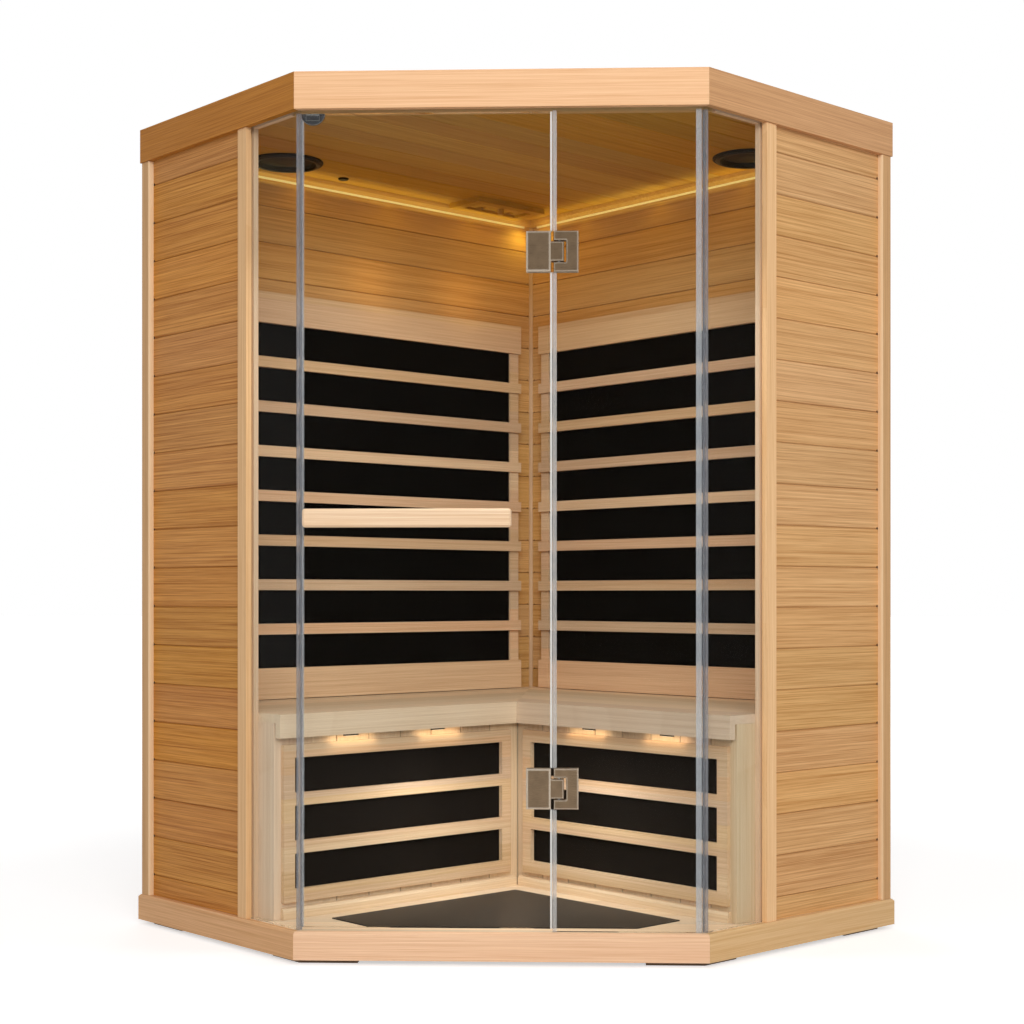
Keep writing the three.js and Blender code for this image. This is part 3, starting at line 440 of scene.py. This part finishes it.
# Tones of the feet, darker than the wood around them: painted shade under the base trims.
SHADED_FOOT = (srgb(148, 126, 102), srgb(112, 92, 72))

# Widths of the boards that aren't wall boards
SEAT_BOARD = 0.104
FRAME_BAR = 0.055
GRILLE_PITCH = 0.1152
COVER_BOARD = 0.3

# Colours and specks of the heating panels
REAR_SHEET = ((0.0025, 0.0022, 0.0018), (0.008, 0.007, 0.005))
LEG_SHEET = ((0.008, 0.006, 0.0045), (0.03, 0.022, 0.015))
FLOOR_SHEET = ((0.034, 0.029, 0.024), (0.07, 0.06, 0.05))


def dress(material, *names):
    """Gives CAD nodes a material."""
    for name in names:
        slots = nodes[name].data.materials
        slots.clear()
        slots.append(material)


def soften(width, *names):
    """Takes the sharpness off the edges of CAD nodes."""
    for name in names:
        bevel = nodes[name].modifiers.new("soft_edges", "BEVEL")
        bevel.width = width
        bevel.segments = 2
        bevel.limit_method = "ANGLE"
        bevel.angle_limit = math.radians(40)


def both(*names):
    """The names of a left and a right node for each name."""
    return [f"{side}_{name}" for name in names for side in SIDES]


def dress_wing(side, number):
    """Materials of one wing: walls, bench, grilles, heaters and trim."""
    along, away = ALONG[side], AWAY[side]
    boards = (CEILING, BOARD)
    # Beyond these planes, walls and posts show the tones of their inner faces
    inside_rear = (away, from_corner(away, 0.004), ROOM)
    inside_wall = (-along, from_corner(-along, 0.012 - SIDE), ROOM)
    inside_post = (-along, from_corner(-along, -PANE_INNER), JAMB)

    # The side's tones of HONEY_LIT_AND_SHADED, FASCIA_LIT_AND_SHADED and FOOTING_LIT_AND_SHADED carry
    # painted light on the right and painted shade on the left.
    rear = wood(f"{side}_rear_boards", HONEY_LIT_AND_SHADED[side], along, Z, 11 + number, boards, inside_rear,
                variety=0.5, seam=0.42)
    dress(rear, f"{side}_rear_wall")
    outer = wood(f"{side}_side_boards", HONEY_LIT_AND_SHADED[side], away, Z, 41 + number, boards, inside_wall,
                 variety=0.5, seam=0.32)
    dress(outer, f"{side}_side_wall")
    post = wood(f"{side}_post_wood", STRIP, Z, away, 71 + number, inner=inside_post)
    dress(post, f"{side}_front_post")

    seat_boards = (from_corner(away, WALL), SEAT_BOARD)
    seat = wood(f"{side}_seat_wood", BENCH, along, away, 101 + number, seat_boards, contrast=0.8, seam=0)
    dress(seat, f"{side}_bench_seat")
    front_boards = (from_corner(along, BENCH_FACE), BOARD)
    front = wood(f"{side}_front_boards", BENCH, Z, along, 131 + number, front_boards, contrast=0.8)
    dress(front, f"{side}_bench_front")
    bars = wood(f"{side}_frame_wood", SLAT, along, Z, 161 + number, (FLOOR, FRAME_BAR),
                contrast=0.8, seam=0)
    dress(bars, f"{side}_leg_grille")
    slats = wood(f"{side}_grille_wood", SLAT, along, Z, 191 + number, (SEAT_TOP, GRILLE_PITCH),
                 contrast=0.8, seam=0)
    dress(slats, f"{side}_rear_grille")
    dress(carbon(f"{side}_heater_sheet", *REAR_SHEET, 0.5, (along, Z)), f"{side}_rear_heater")
    dress(carbon(f"{side}_leg_sheet", *LEG_SHEET, 0.5, (along, Z)), f"{side}_leg_heater")

    dress(wood(f"base_{side}_wood", FOOTING_LIT_AND_SHADED[side], away, Z, 221 + number), f"base_trim_{side}")
    dress(wood(f"fascia_{side}_wood", FASCIA_LIT_AND_SHADED[side], away, Z, 251 + number), f"roof_fascia_{side}")
    rear_fascia = wood(f"fascia_rear_{side}_wood", HONEY_LIT_AND_SHADED[side], along, Z, 281 + number)
    dress(rear_fascia, f"roof_fascia_rear_{side}")


for number, side in enumerate(SIDES):
    dress_wing(side, number)

ceiling_along, ceiling_across = ALONG["left"], AWAY["left"]
ceiling_boards = (from_corner(ceiling_across, WALL), BOARD)
ceiling = wood("ceiling_boards", CANOPY, ceiling_along, ceiling_across, 317, ceiling_boards)
dress(ceiling, "ceiling_panel")
dress(wood("vent_wood", CANOPY, ceiling_along, ceiling_across, 327), "vent_frame")
dress(wood("vent_slide_wood", CANOPY, ceiling_along, ceiling_across, 329), "vent_slide")
dress(wood("crown_wood", ROOM, ceiling_along, Z, 319), "ceiling_crown")
dress(wood("header_wood", ROOM, X, Z, 321), "door_header")
dress(wood("fascia_front_wood", PALE, X, Z, 311, contrast=0.8), "roof_fascia_front")
dress(wood("base_front_wood", PALE, X, Z, 313, contrast=0.9), "base_trim_front")
# The rear base takes the darker left tones of FOOTING_LIT_AND_SHADED, which are painted shade.
dress(wood("base_rear_wood", FOOTING_LIT_AND_SHADED["left"], ALONG["left"], Z, 315), "base_trim_rear")
dress(wood("floor_boards", FLOORING, X, Y, 323, (0, BOARD)), "floor_panel")
dress(wood("cover_wood", COVER, X, Y, 325, (0, COVER_BOARD), seam=0.3), "roof_cover")
dress(wood("handle_wood", HANDLE, X, Z, 331, contrast=1.3, gloss=0.45), "door_handle")
feet = ("foot_front_left", "foot_front_right", "foot_left", "foot_right", "foot_rear")
dress(wood("foot_wood", SHADED_FOOT, X, Z, 333), *feet)

dress(glass("clear_glass", (0.975, 0.99, 0.985)), "door_pane", "front_pane", *both("pane"))
# The last colour of each of these metals is a painted highlight on its rounded edges.
nickel = metal("satin_nickel", srgb(118, 99, 78), 0.3, X, srgb(196, 182, 164))
dress(nickel, *(f"{hinge}_hinge_{leaf}_leaf" for hinge in HINGES for leaf in ("door", "fixed")))
dress(metal("ground_steel", srgb(188, 186, 182), 0.25, Z), *(f"{hinge}_hinge_pin" for hinge in HINGES))
dark_nickel = metal("dark_nickel", srgb(70, 70, 72), 0.35, X, srgb(170, 168, 164), 0.0018)
dress(dark_nickel, "catch_plate", "door_strike")
black = moulded("black_plastic", (0.012, 0.011, 0.01), 0.5)
dress(black, "temperature_sensor", *both("speaker", "lamp_rail"))
dress(carbon("floor_sheet", *FLOOR_SHEET, 0.4, (X, Y)), "floor_heater")
dress(moulded("control_plastic", (0.01, 0.01, 0.011), 0.25, 1500.0, 0.1), "control_panel")
dress(moulded("box_paint", (0.09, 0.09, 0.1), 0.5, 500.0, 0.3), "power_supply")

fascias = ("front", "left", "right", "rear_left", "rear_right")
soften(0.0016, *(f"roof_fascia_{place}" for place in fascias))
soften(0.002, *(f"base_trim_{place}" for place in ("front", "left", "right", "rear")))
soften(0.002, *both("front_post", "rear_grille"), "vent_frame", "vent_slide")
soften(0.003, *both("bench_seat"))
soften(0.004, *both("leg_grille"))

# Detail pieces


def piece(name, mesh, material, body="cabin"):
    """Turns a mesh into a visible piece that rides on a body."""
    data = bpy.data.meshes.new(name)
    mesh.to_mesh(data)
    mesh.free()
    data.materials.append(material)
    thing = bpy.data.objects.new(name, data)
    scene.collection.objects.link(thing)
    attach(thing, body)


def add_bar(mesh, first, second):
    """A closed bar between two rings with the same number of points."""
    rings = [[mesh.verts.new(point) for point in ring] for ring in (first, second)]
    for i in range(len(first)):
        j = (i + 1) % len(first)
        mesh.faces.new((rings[0][i], rings[0][j], rings[1][j], rings[1][i]))
    mesh.faces.new(rings[0][::-1])
    mesh.faces.new(rings[1])
    bmesh.ops.recalc_face_normals(mesh, faces=mesh.faces)


def add_rail(mesh, side, section, start, end):
    """A bar with a section of (b, z) points, from one distance along the wing to another."""
    add_bar(mesh, *([wing_point(side, a, b, z) for b, z in section] for a in (start, end)))


def add_upright(mesh, plan, bottom, top):
    """An upright bar over a closed plan of (x, y) points."""
    add_bar(mesh, *([(x, y, z) for x, y in plan] for z in (bottom, top)))


def circle(radius, steps):
    """Points of a circle about the origin."""
    turns = [2 * math.pi * k / steps for k in range(steps)]
    return [(radius * math.cos(t), radius * math.sin(t)) for t in turns]


def join_rows(mesh, rows):
    """Faces between rows of points that each run round a circle."""
    steps = len(rows[0])
    for low, high in zip(rows, rows[1:]):
        for k in range(steps):
            j = (k + 1) % steps
            mesh.faces.new((low[k], low[j], high[j], high[k]))


def add_dome(mesh, centre, normal, radius, height, rings=4, steps=24):
    """A low round head on a face."""
    turn = normal.to_track_quat("Z", "Y").to_matrix()
    centre = Vector(centre)
    rows = []
    for ring in range(rings):
        angle = ring / rings * math.pi / 2
        lift = height * math.sin(angle)
        points = circle(radius * math.cos(angle), steps)
        rows.append([mesh.verts.new(centre + turn @ Vector((x, y, lift))) for x, y in points])
    join_rows(mesh, rows)
    top = mesh.verts.new(centre + turn @ Vector((0, 0, height)))
    for k in range(steps):
        mesh.faces.new((rows[-1][k], rows[-1][(k + 1) % steps], top))
    mesh.faces.new(rows[0][::-1])
    for face in mesh.faces:
        face.smooth = True


def add_ring(mesh, centre, profile, steps=48):
    """A ring turned about an upright line from a closed profile of (radius, z) points."""
    rows = []
    for radius, z in profile:
        points = circle(radius, steps)
        rows.append([mesh.verts.new((centre.x + x, centre.y + y, z)) for x, y in points])
    join_rows(mesh, rows + rows[:1])
    bmesh.ops.recalc_face_normals(mesh, faces=mesh.faces)
    for face in mesh.faces:
        face.smooth = True


# Bead in the rear corner, from the seat to the crown

BEAD_RADIUS = 0.008
BEAD_STEPS = 8

bead = bmesh.new()
heart = wing_point("left", WALL, WALL, 0) - Y * 0.0008
plan = [heart.xy]
for step in range(BEAD_STEPS + 1):
    turn = math.radians(225 + 90 * step / BEAD_STEPS)
    plan.append((heart.x + BEAD_RADIUS * math.cos(turn), heart.y + BEAD_RADIUS * math.sin(turn)))
add_upright(bead, plan, SEAT_TOP + 0.0005, CROWN_LOW)
piece("corner_bead", bead, wood("bead_wood", SLAT, Z, X, 341))

# Skirtings at the foot of the bench fronts: (away from the bench, above the floor)

SKIRTING = ((0, 0), (0.011, 0), (0.011, 0.017), (0.007, 0.024), (0, 0.026))


def add_skirting(side):
    skirting = bmesh.new()
    section = [(BENCH_FACE + 0.0003 + b, FLOOR + 0.0004 + z) for b, z in SKIRTING]
    add_rail(skirting, side, section, BENCH_FACE + 0.013, SIDE_INNER - 0.0195)
    material = wood(f"{side}_skirting_wood", BENCH, ALONG[side], Z, 343)
    piece(f"{side}_skirting", skirting, material)


# Light strips under the crown: (away from the wall, below the crown)

LIGHT_STRIP = ((0, 0.005), (0.004, 0.005), (0.0045, 0.0003), (0, 0.0003))
warm_strip = glow("warm_strip", srgb(255, 206, 96), 0.12)


def add_light_strip(side):
    strip = bmesh.new()
    section = [(WALL + 0.0005 + b, CROWN_LOW - drop) for b, drop in LIGHT_STRIP]
    add_rail(strip, side, section, WALL + 0.03, SIDE_INNER - 0.01)
    piece(f"{side}_light_strip", strip, warm_strip)


# Nails at the joints of the boards, outside beside the corner strip and inside beside the bead

NAIL_ABOVE_JOINT = 0.002
OUTER_NAIL = 0.0258
INNER_NAIL = WALL + 0.015
nail_metal = moulded("nail_heads", srgb(84, 54, 30), 0.5)


def add_nails(side):
    nails = bmesh.new()
    z = CEILING - BOARD + NAIL_ABOVE_JOINT
    while z > FLOOR + 0.01:
        add_dome(nails, wing_point(side, SIDE, OUTER_NAIL, z), ALONG[side], 0.0028, 0.0006, 2, 10)
        if z > SEAT_TOP + 0.02:
            add_dome(nails, wing_point(side, INNER_NAIL, WALL, z), AWAY[side], 0.0016, 0.0005, 2, 10)
        z -= BOARD
    piece(f"{side}_nails", nails, nail_metal)


# Strips with a round nose over the outer rear corners: (out from the side wall, away from the rear wall)

CORNER_STRIP = (
    (0.0003, 0.0194),
    (0.0003, 0.0226),
    (0.0075, 0.0226),
    (0.0105, 0.0222),
    (0.0126, 0.0208),
    (0.0135, 0.0186),
    (0.0135, -0.0105),
    (0.0128, -0.0115),
    (0.0114, -0.0115),
    (0.0114, 0.0194),
)


def add_corner_strip(side):
    strip = bmesh.new()
    plan = wing_plan(side, [(SIDE + a, b) for a, b in CORNER_STRIP])
    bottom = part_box(f"base_trim_{side}")[1].z + 0.0005
    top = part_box(f"roof_fascia_{side}")[0].z - 0.0005
    add_upright(strip, plan, bottom, top)
    # The round nose takes the lighter NOSE_HIGHLIGHT tones, a painted highlight.
    nose = (AWAY[side], from_corner(AWAY[side], WALL), NOSE_HIGHLIGHT)
    material = wood(f"{side}_corner_strip_wood", CORNER, Z, AWAY[side], 351, inner=nose)
    piece(f"{side}_corner_strip", strip, material)


for side in SIDES:
    add_skirting(side)
    add_light_strip(side)
    add_nails(side)
    add_corner_strip(side)

# Seals on both sides of the door joint and on the outer edges of the front panes

SEAL_LIP = 0.0007
SEAL_SIDE = 0.0016
SEAL_PLAY = 0.0002
HINGE_PLAY = 0.001

clear_seal = seal_plastic("clear_seal", (0.84, 0.86, 0.88), 0.86)
bright_seal = seal_plastic("bright_seal", (0.94, 0.93, 0.91), 0.6)
milky_seal = seal_plastic("milky_seal", (0.88, 0.87, 0.86), 0.84)
corner_seal = seal_plastic("corner_seal", (0.56, 0.57, 0.6), 0.8)


def edge_seal(name, pane_edge, reach, plastic, body, bottom, top):
    """A channel over the upright edge of a pane. reach is how far it goes over the pane, with a sign."""
    mesh = bmesh.new()
    over = pane_edge + reach
    lip = pane_edge - math.copysign(SEAL_LIP, reach)
    front, back = GLASS_FRONT - SEAL_SIDE, GLASS_BACK + SEAL_SIDE
    groove_front, groove_back = GLASS_FRONT - SEAL_PLAY, GLASS_BACK + SEAL_PLAY
    plan = [(over, front), (lip, front), (lip, back), (over, back), (over, groove_back)]
    plan += [(pane_edge, groove_back), (pane_edge, groove_front), (over, groove_front)]
    add_upright(mesh, plan, bottom, top)
    piece(name, mesh, plastic, body)


door_low, door_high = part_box("door_pane")
fixed_low, fixed_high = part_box("front_pane")
leaves = [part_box(f"{hinge}_hinge_door_leaf") for hinge in HINGES]
tops = [low.z - HINGE_PLAY for low, high in leaves]
bottoms = [high.z + HINGE_PLAY for low, high in leaves]
door_spans = zip([door_low.z, *bottoms], [*tops, door_high.z])
fixed_spans = zip([fixed_low.z, *bottoms], [*tops, HEADER_LOW])
for number, (door_span, fixed_span) in enumerate(zip(door_spans, fixed_spans)):
    edge_seal(f"door_seal_{number}", door_high.x, -0.0036, bright_seal, "door", *door_span)
    edge_seal(f"fixed_seal_{number}", fixed_low.x, 0.0085, milky_seal, "cabin", *fixed_span)
strike_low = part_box("door_strike")[0].z - 0.001
edge_seal("door_edge_seal", door_low.x, 0.002, clear_seal, "door", door_low.z, strike_low)
edge_seal("fixed_edge_seal", fixed_high.x, -0.012, clear_seal, "cabin", fixed_low.z, HEADER_LOW)

# The side panes end in a channel at the front corners, and stand under a narrow rail

CHANNEL_REACH = 0.006
CHANNEL_SIDE = 0.0014
CHANNEL_LIP = 0.0009
RAIL_BACK = 0.4525
RAIL_WIDTH = 0.0121
RAIL_SHORT = 0.04
PANE_TIP = (REAR_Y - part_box("left_pane")[0].y) / SQ - PANE_OUTER


def add_corner_seal(side):
    seal = bmesh.new()
    inner, outer = PANE_INNER - CHANNEL_SIDE, PANE_OUTER + CHANNEL_SIDE
    groove_inner, groove_outer = PANE_INNER - SEAL_PLAY, PANE_OUTER + SEAL_PLAY
    back, groove, front = PANE_TIP - CHANNEL_REACH, PANE_TIP + SEAL_PLAY, PANE_TIP + CHANNEL_LIP
    section = [(inner, back), (inner, front), (outer, front), (outer, back)]
    section += [(groove_outer, back), (groove_outer, groove), (groove_inner, groove), (groove_inner, back)]
    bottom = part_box(f"{side}_pane")[0].z
    add_upright(seal, wing_plan(side, section), bottom, HEADER_LOW - 0.001)
    piece(f"{side}_corner_seal", seal, corner_seal)


def add_top_rail(side):
    rail = bmesh.new()
    near = PANE_INNER - 0.0004
    far = near - RAIL_WIDTH
    front = PANE_TIP - RAIL_SHORT
    section = [(far, RAIL_BACK), (near, RAIL_BACK), (near, front), (far, front)]
    add_upright(rail, wing_plan(side, section), HEADER_LOW + 0.004, CEILING - 0.0005)
    material = wood(f"{side}_top_rail_wood", JAMB, AWAY[side], Z, 347)
    piece(f"{side}_top_rail", rail, material)


for side in SIDES:
    add_corner_seal(side)
    add_top_rail(side)

# Bevelled cover plates on the door leaves of the hinges; the tongue beside them lies lower

PLATE_RIGHT = 0.1095
# Foot and head of the bevel: in from the edges, and out from the leaf
PLATE_BEVEL = ((0.0006, 0.0001), (0.0028, 0.0018))

for hinge, (leaf_low, leaf_high) in zip(HINGES, leaves):
    cover = bmesh.new()
    rings = []
    for inset, lift in PLATE_BEVEL:
        left, right = leaf_low.x + inset, PLATE_RIGHT - inset
        low, high = leaf_low.z + inset, leaf_high.z - inset
        corners = ((left, low), (right, low), (right, high), (left, high))
        rings.append([(x, leaf_low.y - lift, z) for x, z in corners])
    add_bar(cover, *rings)
    piece(f"{hinge}_hinge_cover", cover, nickel, "door")

# Caps of the handle bolts on the inner face of the door

BOLT_INSET = 0.032

caps = bmesh.new()
handle_low, handle_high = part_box("door_handle")
handle_middle = (handle_low.z + handle_high.z) / 2
for x in (handle_low.x + BOLT_INSET, handle_high.x - BOLT_INSET):
    add_dome(caps, (x, GLASS_BACK + 0.0003, handle_middle), Y, 0.011, 0.005)
piece("handle_caps", caps, nickel, "door")

# Rims of the speakers in the ceiling: (part of the speaker's radius, drop below it)

SPEAKER_RIM = ((0.80, 0.0003), (0.82, 0.0024), (0.86, 0.0032), (0.90, 0.0024), (0.92, 0.0003))

rim_plastic = moulded("rim_plastic", (0.035, 0.031, 0.027), 0.4)
for side in SIDES:
    speaker_low, speaker_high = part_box(f"{side}_speaker")
    radius = (speaker_high.x - speaker_low.x) / 2
    rim = bmesh.new()
    profile = [(radius * part, speaker_low.z - drop) for part, drop in SPEAKER_RIM]
    add_ring(rim, (speaker_low + speaker_high) / 2, profile)
    piece(f"{side}_speaker_rim", rim, rim_plastic)

# Lenses of the bench lamps: (away from the bench front, drop below the lamp rail)

LENS = ((0.0012, 0.0004), (0.0058, 0.0004), (0.005, 0.0016), (0.002, 0.0016))
LENS_LENGTH = 0.032

lens_light = glow("lamp_lens", srgb(255, 220, 170), 0.15)
for side in SIDES:
    lenses = bmesh.new()
    lamp_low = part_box(f"{side}_lamp_rail")[0].z
    section = [(BENCH_FACE + b, lamp_low - drop) for b, drop in LENS]
    for place in LAMP_PLACES:
        a = BENCH_FACE + place
        add_rail(lenses, side, section, a - LENS_LENGTH / 2, a + LENS_LENGTH / 2)
    piece(f"{side}_lamp_lenses", lenses, lens_light)

# Lamps: the large ones outside, and those inside the cabin

WHITE = (1, 1, 1)
AMBER = srgb(255, 206, 54)
COVE_YELLOW = srgb(255, 236, 118)
CORNER_YELLOW = srgb(255, 230, 104)
WALL_YELLOW = srgb(255, 206, 120)
BENCH_WARM = srgb(255, 228, 186)
# Places along the rear wall
CANOPY_PLACES = (0.25, 0.55, 0.85, 1.15)
WALL_LIGHT_PLACES = (0.62, 0.30)


def area_lamp(name, place, aim, size, power, colour=WHITE, size_y=None, mirrored=False):
    """A lamp out of the camera's sight. aim is a point, or a turn where the lamp's long side matters."""
    data = bpy.data.lights.new(name, "AREA")
    data.energy = power
    data.color = colour
    data.size = size
    if size_y:
        data.shape = "RECTANGLE"
        data.size_y = size_y
    lamp = bpy.data.objects.new(name, data)
    lamp.visible_camera = False
    lamp.visible_transmission = False
    lamp.visible_glossy = mirrored
    lamp.location = place
    if isinstance(aim, Matrix):
        lamp.rotation_euler = aim.to_euler()
    else:
        lamp.rotation_euler = (Vector(aim) - Vector(place)).to_track_quat("-Z", "Y").to_euler()
    scene.collection.objects.link(lamp)


def wing_lamps(side):
    """Light along the ceiling of a wing, and the lamps under its bench."""
    cove = wing_point(side, 0.64, WALL + 0.03, CEILING - 0.04)
    axes = Matrix((ALONG[side], Z.cross(ALONG[side]), Z)).transposed().to_4x4()
    upward = axes @ Matrix.Rotation(math.pi, 4, "X")
    area_lamp(f"{side}_cove", cove, upward, 1.15, 0.2, COVE_YELLOW, 0.012)
    for number, a in enumerate(CANOPY_PLACES):
        spot = wing_point(side, a, 0.16, CEILING - 0.03)
        area_lamp(f"{side}_canopy_{number}", spot, spot - Z, 0.2, 0.09, AMBER)
    lamp_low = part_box(f"{side}_lamp_rail")[0].z
    for number, place in enumerate(LAMP_PLACES):
        spot = wing_point(side, BENCH_FACE + place, BENCH_FACE + 0.022, lamp_low - 0.004)
        aim = spot - Z - AWAY[side] * 0.9
        area_lamp(f"{side}_lamp_{number}", spot, aim, 0.13, 0.022, BENCH_WARM, 0.014, mirrored=True)


area_lamp("key", (1.4, -4.6, 4.6), (0, -0.4, 1.0), 3.0, 52)
area_lamp("front", (0.9, -9.0, 3.8), (0, -0.4, 1.0), 5.0, 345, size_y=2.0)
area_lamp("back", (-1.5, 5.5, 4.2), (0, 0.3, 1.0), 3.0, 60)
area_lamp("room", (0, -0.56, 1.60), (0, -0.1, 0.0), 0.6, 2.9, size_y=0.15)
area_lamp("floor_light", (0, -0.43, 0.44), (0, -0.43, 0.0), 0.42, 1.3, size_y=0.18)
area_lamp("canopy", (0, -0.05, 1.45), (0, -0.05, 1.92), 0.7, 0.24, AMBER)
for side in SIDES:
    wing_lamps(side)
corner_spot = wing_point("left", WALL + 0.05, WALL + 0.05, CEILING - 0.03)
area_lamp("corner", corner_spot, corner_spot - Z, 0.05, 0.09, CORNER_YELLOW)
for number, a in enumerate(WALL_LIGHT_PLACES):
    spot = wing_point("left", a, WALL + 0.10, 1.66)
    area_lamp(f"wall_light_{number}", spot, spot - AWAY["left"], 0.08, 0.034, WALL_YELLOW)

# World: white where it is looked at, and a plain level of light elsewhere

WORLD_LIGHT = 0.31

world = bpy.data.worlds.new("world")
scene.world = world
sky = Graph(world)
background = sky.add("ShaderNodeBackground")
sky.put(background.inputs[0], WHITE)
sky.put(background.inputs[1], sky.range(sky.seen(), 0.0, 1.0, WORLD_LIGHT, 1.0))
sky.put(sky.add("ShaderNodeOutputWorld").inputs[0], background.outputs[0])

# White floor, which keeps the shadow near the object and fades into the background

SHADOW_NEAR, SHADOW_FAR = 1.6, 5.0
NEAR_GLOW, FAR_GLOW = 0.56, 0.86

paper = Surface("paper")
apart = paper.vector_math("LENGTH", paper.place)
glow_level = paper.range(apart, SHADOW_NEAR, SHADOW_FAR, NEAR_GLOW, FAR_GLOW)
paper.set(base_color=(0.75, 0.75, 0.75), roughness=0.9)
paper.set(emission_color=WHITE, emission_strength=paper.times(paper.seen(), glow_level))

ground = bmesh.new()
bmesh.ops.create_grid(ground, x_segments=1, y_segments=1, size=60)
ground_data = bpy.data.meshes.new("ground")
ground.to_mesh(ground_data)
ground.free()
ground_data.materials.append(paper.material)
ground_thing = bpy.data.objects.new("ground", ground_data)
ground_thing.location.z = -0.0005
scene.collection.objects.link(ground_thing)

scene.view_settings.view_transform = "Standard"
